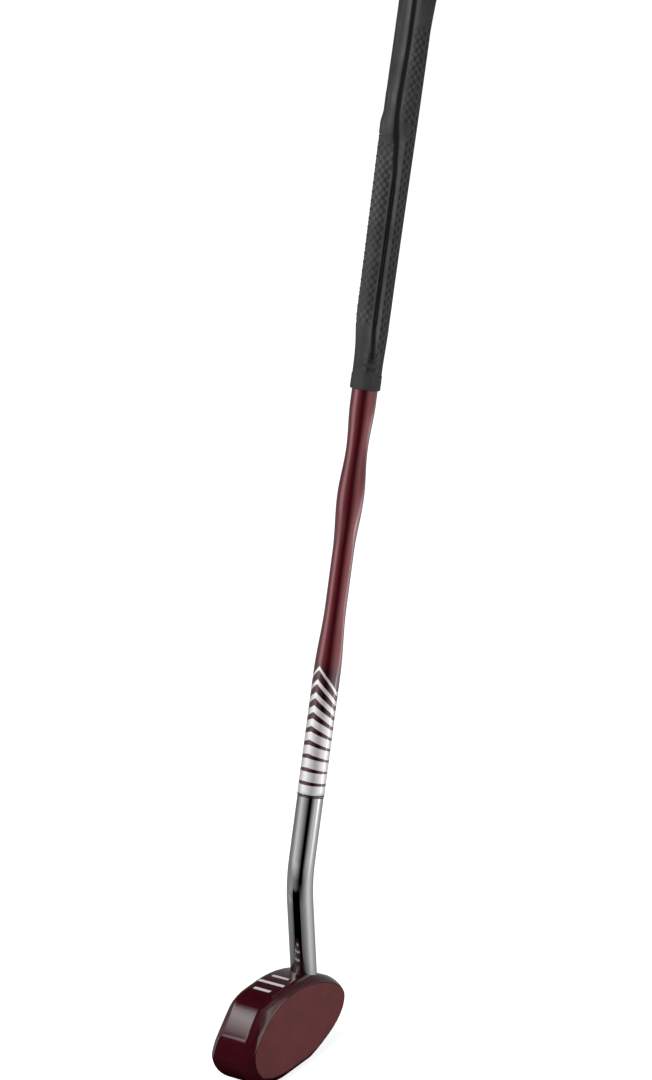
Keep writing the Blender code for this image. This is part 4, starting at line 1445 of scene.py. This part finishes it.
# Lamps: side and elevation in degrees, distance and size in metres, and level
LAMPS = {
    "lamp_key": (-35.0, 30.0, 2.6, 1.4, 0.40),
    "lamp_top": (-60.0, 70.0, 2.4, 1.2, 0.35),
    "lamp_fill": (60.0, 10.0, 2.6, 1.2, 0.15),
}


def add_flag(name, start, end, top):
    """Upright black card near the head that fades out at its top, seen only in reflections."""
    material, tree = bare_material(name)
    height = add_node(tree, "ShaderNodeTexCoord", {}, {}, "Object").part("Z")
    clear = between(height, *[top - fade for fade in FLAG_FADE])
    black = add_node(tree, "ShaderNodeEmission", {}, {"Strength": 0.0})
    hole = add_node(tree, "ShaderNodeBsdfTransparent", {}, {})
    show(tree, add_node(tree, "ShaderNodeMixShader", {}, {0: clear, 1: black, 2: hole}))
    bm = bmesh.new()
    line = bm.edges.new([bm.verts.new((*spot, FLAG_FOOT)) for spot in (start, end)])
    made = bmesh.ops.extrude_edge_only(bm, edges=[line])["geom"]
    raised = [item for item in made if isinstance(item, bmesh.types.BMVert)]
    bmesh.ops.translate(bm, verts=raised, vec=(0.0, 0.0, top - FLAG_FOOT))
    only_in_reflections(new_object(name, bm, material))


def add_lamp(name, side, elevation, distance, size, level):
    """Soft square lamp that faces the club.

    side is in degrees from the camera's side, to the right in the picture, and level is how
    bright a white surface that faces the lamp becomes.
    """
    lamp = bpy.data.lights.new(name, "AREA")
    lamp.size = size
    lamp.energy = level * (math.pi * distance) ** 2
    item = bpy.data.objects.new(name, lamp)
    turn = camera_side() + math.radians(side)
    rise = math.radians(elevation)
    level_away = Vector((math.cos(turn), math.sin(turn), 0.0))
    away = level_away * math.cos(rise) + Vector((0.0, 0.0, math.sin(rise)))
    item.location = CLUB_MIDDLE + distance * away
    item.rotation_euler = away.to_track_quat("Z", "Y").to_euler()
    item.visible_glossy = False
    bpy.context.scene.collection.objects.link(item)


def seen_directly(tree):
    """1 for rays that show the background: to the camera, in gloss and through glass."""
    path = "ShaderNodeLightPath"
    camera = add_node(tree, path, {}, {}, "Is Camera Ray")
    glossy = add_node(tree, path, {}, {}, "Is Glossy Ray")
    through = add_node(tree, path, {}, {}, "Is Transmission Ray")
    return (camera + glossy).math("ADD", through, clamp=True)


class CLUB_OT_stage(bpy.types.Operator):
    """Set up the camera, the pale floor, the white backdrop and the soft lights"""

    bl_idname = "club.stage"
    bl_label = "Stage"

    def execute(self, context):
        stage = context.scene.club_stage
        self.add_camera(context, stage)
        self.add_world(context, stage)
        self.add_floor(stage)
        self.add_lights()
        context.scene.view_settings.view_transform = "Standard"
        return {"FINISHED"}

    def add_camera(self, context, stage):
        """Camera of the photograph's view: 652 x 1080 pixels, upright."""
        data = bpy.data.cameras.new("camera")
        data.sensor_width = 36.0
        data.lens = stage.lens
        camera = bpy.data.objects.new("camera", data)
        level = math.cos(stage.elevation)
        forward = Vector((level * math.sin(stage.azimuth), level * math.cos(stage.azimuth),
                          -math.sin(stage.elevation)))
        camera.location = Vector(stage.aim) - forward * stage.distance
        turn = forward.to_track_quat("-Z", "Y") @ Quaternion((0.0, 0.0, 1.0), stage.roll)
        camera.rotation_euler = turn.to_euler()
        context.scene.collection.objects.link(camera)
        context.scene.camera = camera

    def add_world(self, context, stage):
        """White where the background shows, and a soft even light for the rest."""
        world = bpy.data.worlds.new("studio")
        context.scene.world = world
        world.use_nodes = True
        tree = world.node_tree
        background = tree.nodes["Background"]
        background.inputs["Color"].default_value = (1.0, 1.0, 1.0, 1.0)
        strength = stage.ambient + (1.0 - stage.ambient) * seen_directly(tree)
        tree.links.new(strength.socket, background.inputs["Strength"])

    def add_floor(self, stage):
        """Pale floor, lifted to white for the camera, that keeps the club's shadow."""
        bm = bmesh.new()
        bmesh.ops.create_grid(bm, x_segments=1, y_segments=1, size=FLOOR_SIZE)
        bmesh.ops.translate(bm, verts=bm.verts, vec=(0.0, 0.0, FLOOR_HEIGHT))
        surface = Surface("floor", base_color=(0.80, 0.80, 0.80, 1.0), roughness=0.9,
                          specular_ior_level=0.0)
        strength = stage.backdrop_lift * seen_directly(surface.tree)
        lift = surface.node("ShaderNodeEmission", {}, {"Strength": strength})
        plain = Wire(surface.tree, surface.shader.outputs[0])
        show(surface.tree, surface.node("ShaderNodeAddShader", {}, {0: plain, 1: lift}))
        floor = new_object("floor", bm, surface.material)
        floor.visible_glossy = False

    def add_lights(self):
        """Soft lamps, and the room and cards that the gloss and the plating mirror."""
        for name, lamp in LAMPS.items():
            add_lamp(name, *lamp)
        self.add_room()
        for name, flag in FLAGS.items():
            add_flag(name, *flag)

    def add_room(self):
        """Round room of soft panels and dark gaps, seen only in reflections."""
        wall = [(ROOM_RADIUS, ROOM_FOOT), (ROOM_RADIUS, ROOM_TOP)]
        profile = [(0.0, ROOM_FOOT), *wall, (0.0, ROOM_TOP)]
        only_in_reflections(new_object("room", turned(profile, ROOM_POINTS), room_panels()))


class CLUB_PT_panel(bpy.types.Panel):
    """Sidebar panel that lists the club's operators and settings"""

    bl_idname = "CLUB_PT_panel"
    bl_label = "Ground Golf Club"
    bl_space_type = "VIEW_3D"
    bl_region_type = "UI"
    bl_category = "Club"

    def draw(self, context):
        layout = self.layout
        for operator in OPERATORS:
            layout.operator(operator.bl_idname)
        for name, _ in GROUPS:
            box = layout.box()
            settings = getattr(context.scene, name)
            for key in settings.__annotations__:
                box.prop(settings, key)


GROUPS = (
    ("club_head", HeadSettings),
    ("club_stripe", StripeSettings),
    ("club_grip", GripSettings),
    ("club_finish", FinishSettings),
    ("club_stage", StageSettings),
)
OPERATORS = (
    CLUB_OT_head,
    CLUB_OT_face,
    CLUB_OT_sole,
    CLUB_OT_neck,
    CLUB_OT_ring,
    CLUB_OT_shaft,
    CLUB_OT_grip,
    CLUB_OT_butt_cap,
    CLUB_OT_inner_parts,
    CLUB_OT_stage,
)


def register():
    """Register the settings, the operators and the panel."""
    for name, group in GROUPS:
        bpy.utils.register_class(group)
        setattr(bpy.types.Scene, name, bpy.props.PointerProperty(type=group))
    for operator in OPERATORS:
        bpy.utils.register_class(operator)
    bpy.utils.register_class(CLUB_PT_panel)


def unregister():
    """Undo register."""
    bpy.utils.unregister_class(CLUB_PT_panel)
    for operator in reversed(OPERATORS):
        bpy.utils.unregister_class(operator)
    for name, group in reversed(GROUPS):
        delattr(bpy.types.Scene, name)
        bpy.utils.unregister_class(group)


def main():
    """Build every piece and the stage."""
    register()
    for operator in OPERATORS:
        group, name = operator.bl_idname.split(".")
        getattr(getattr(bpy.ops, group), name)()


if __name__ == "__main__":
    main()
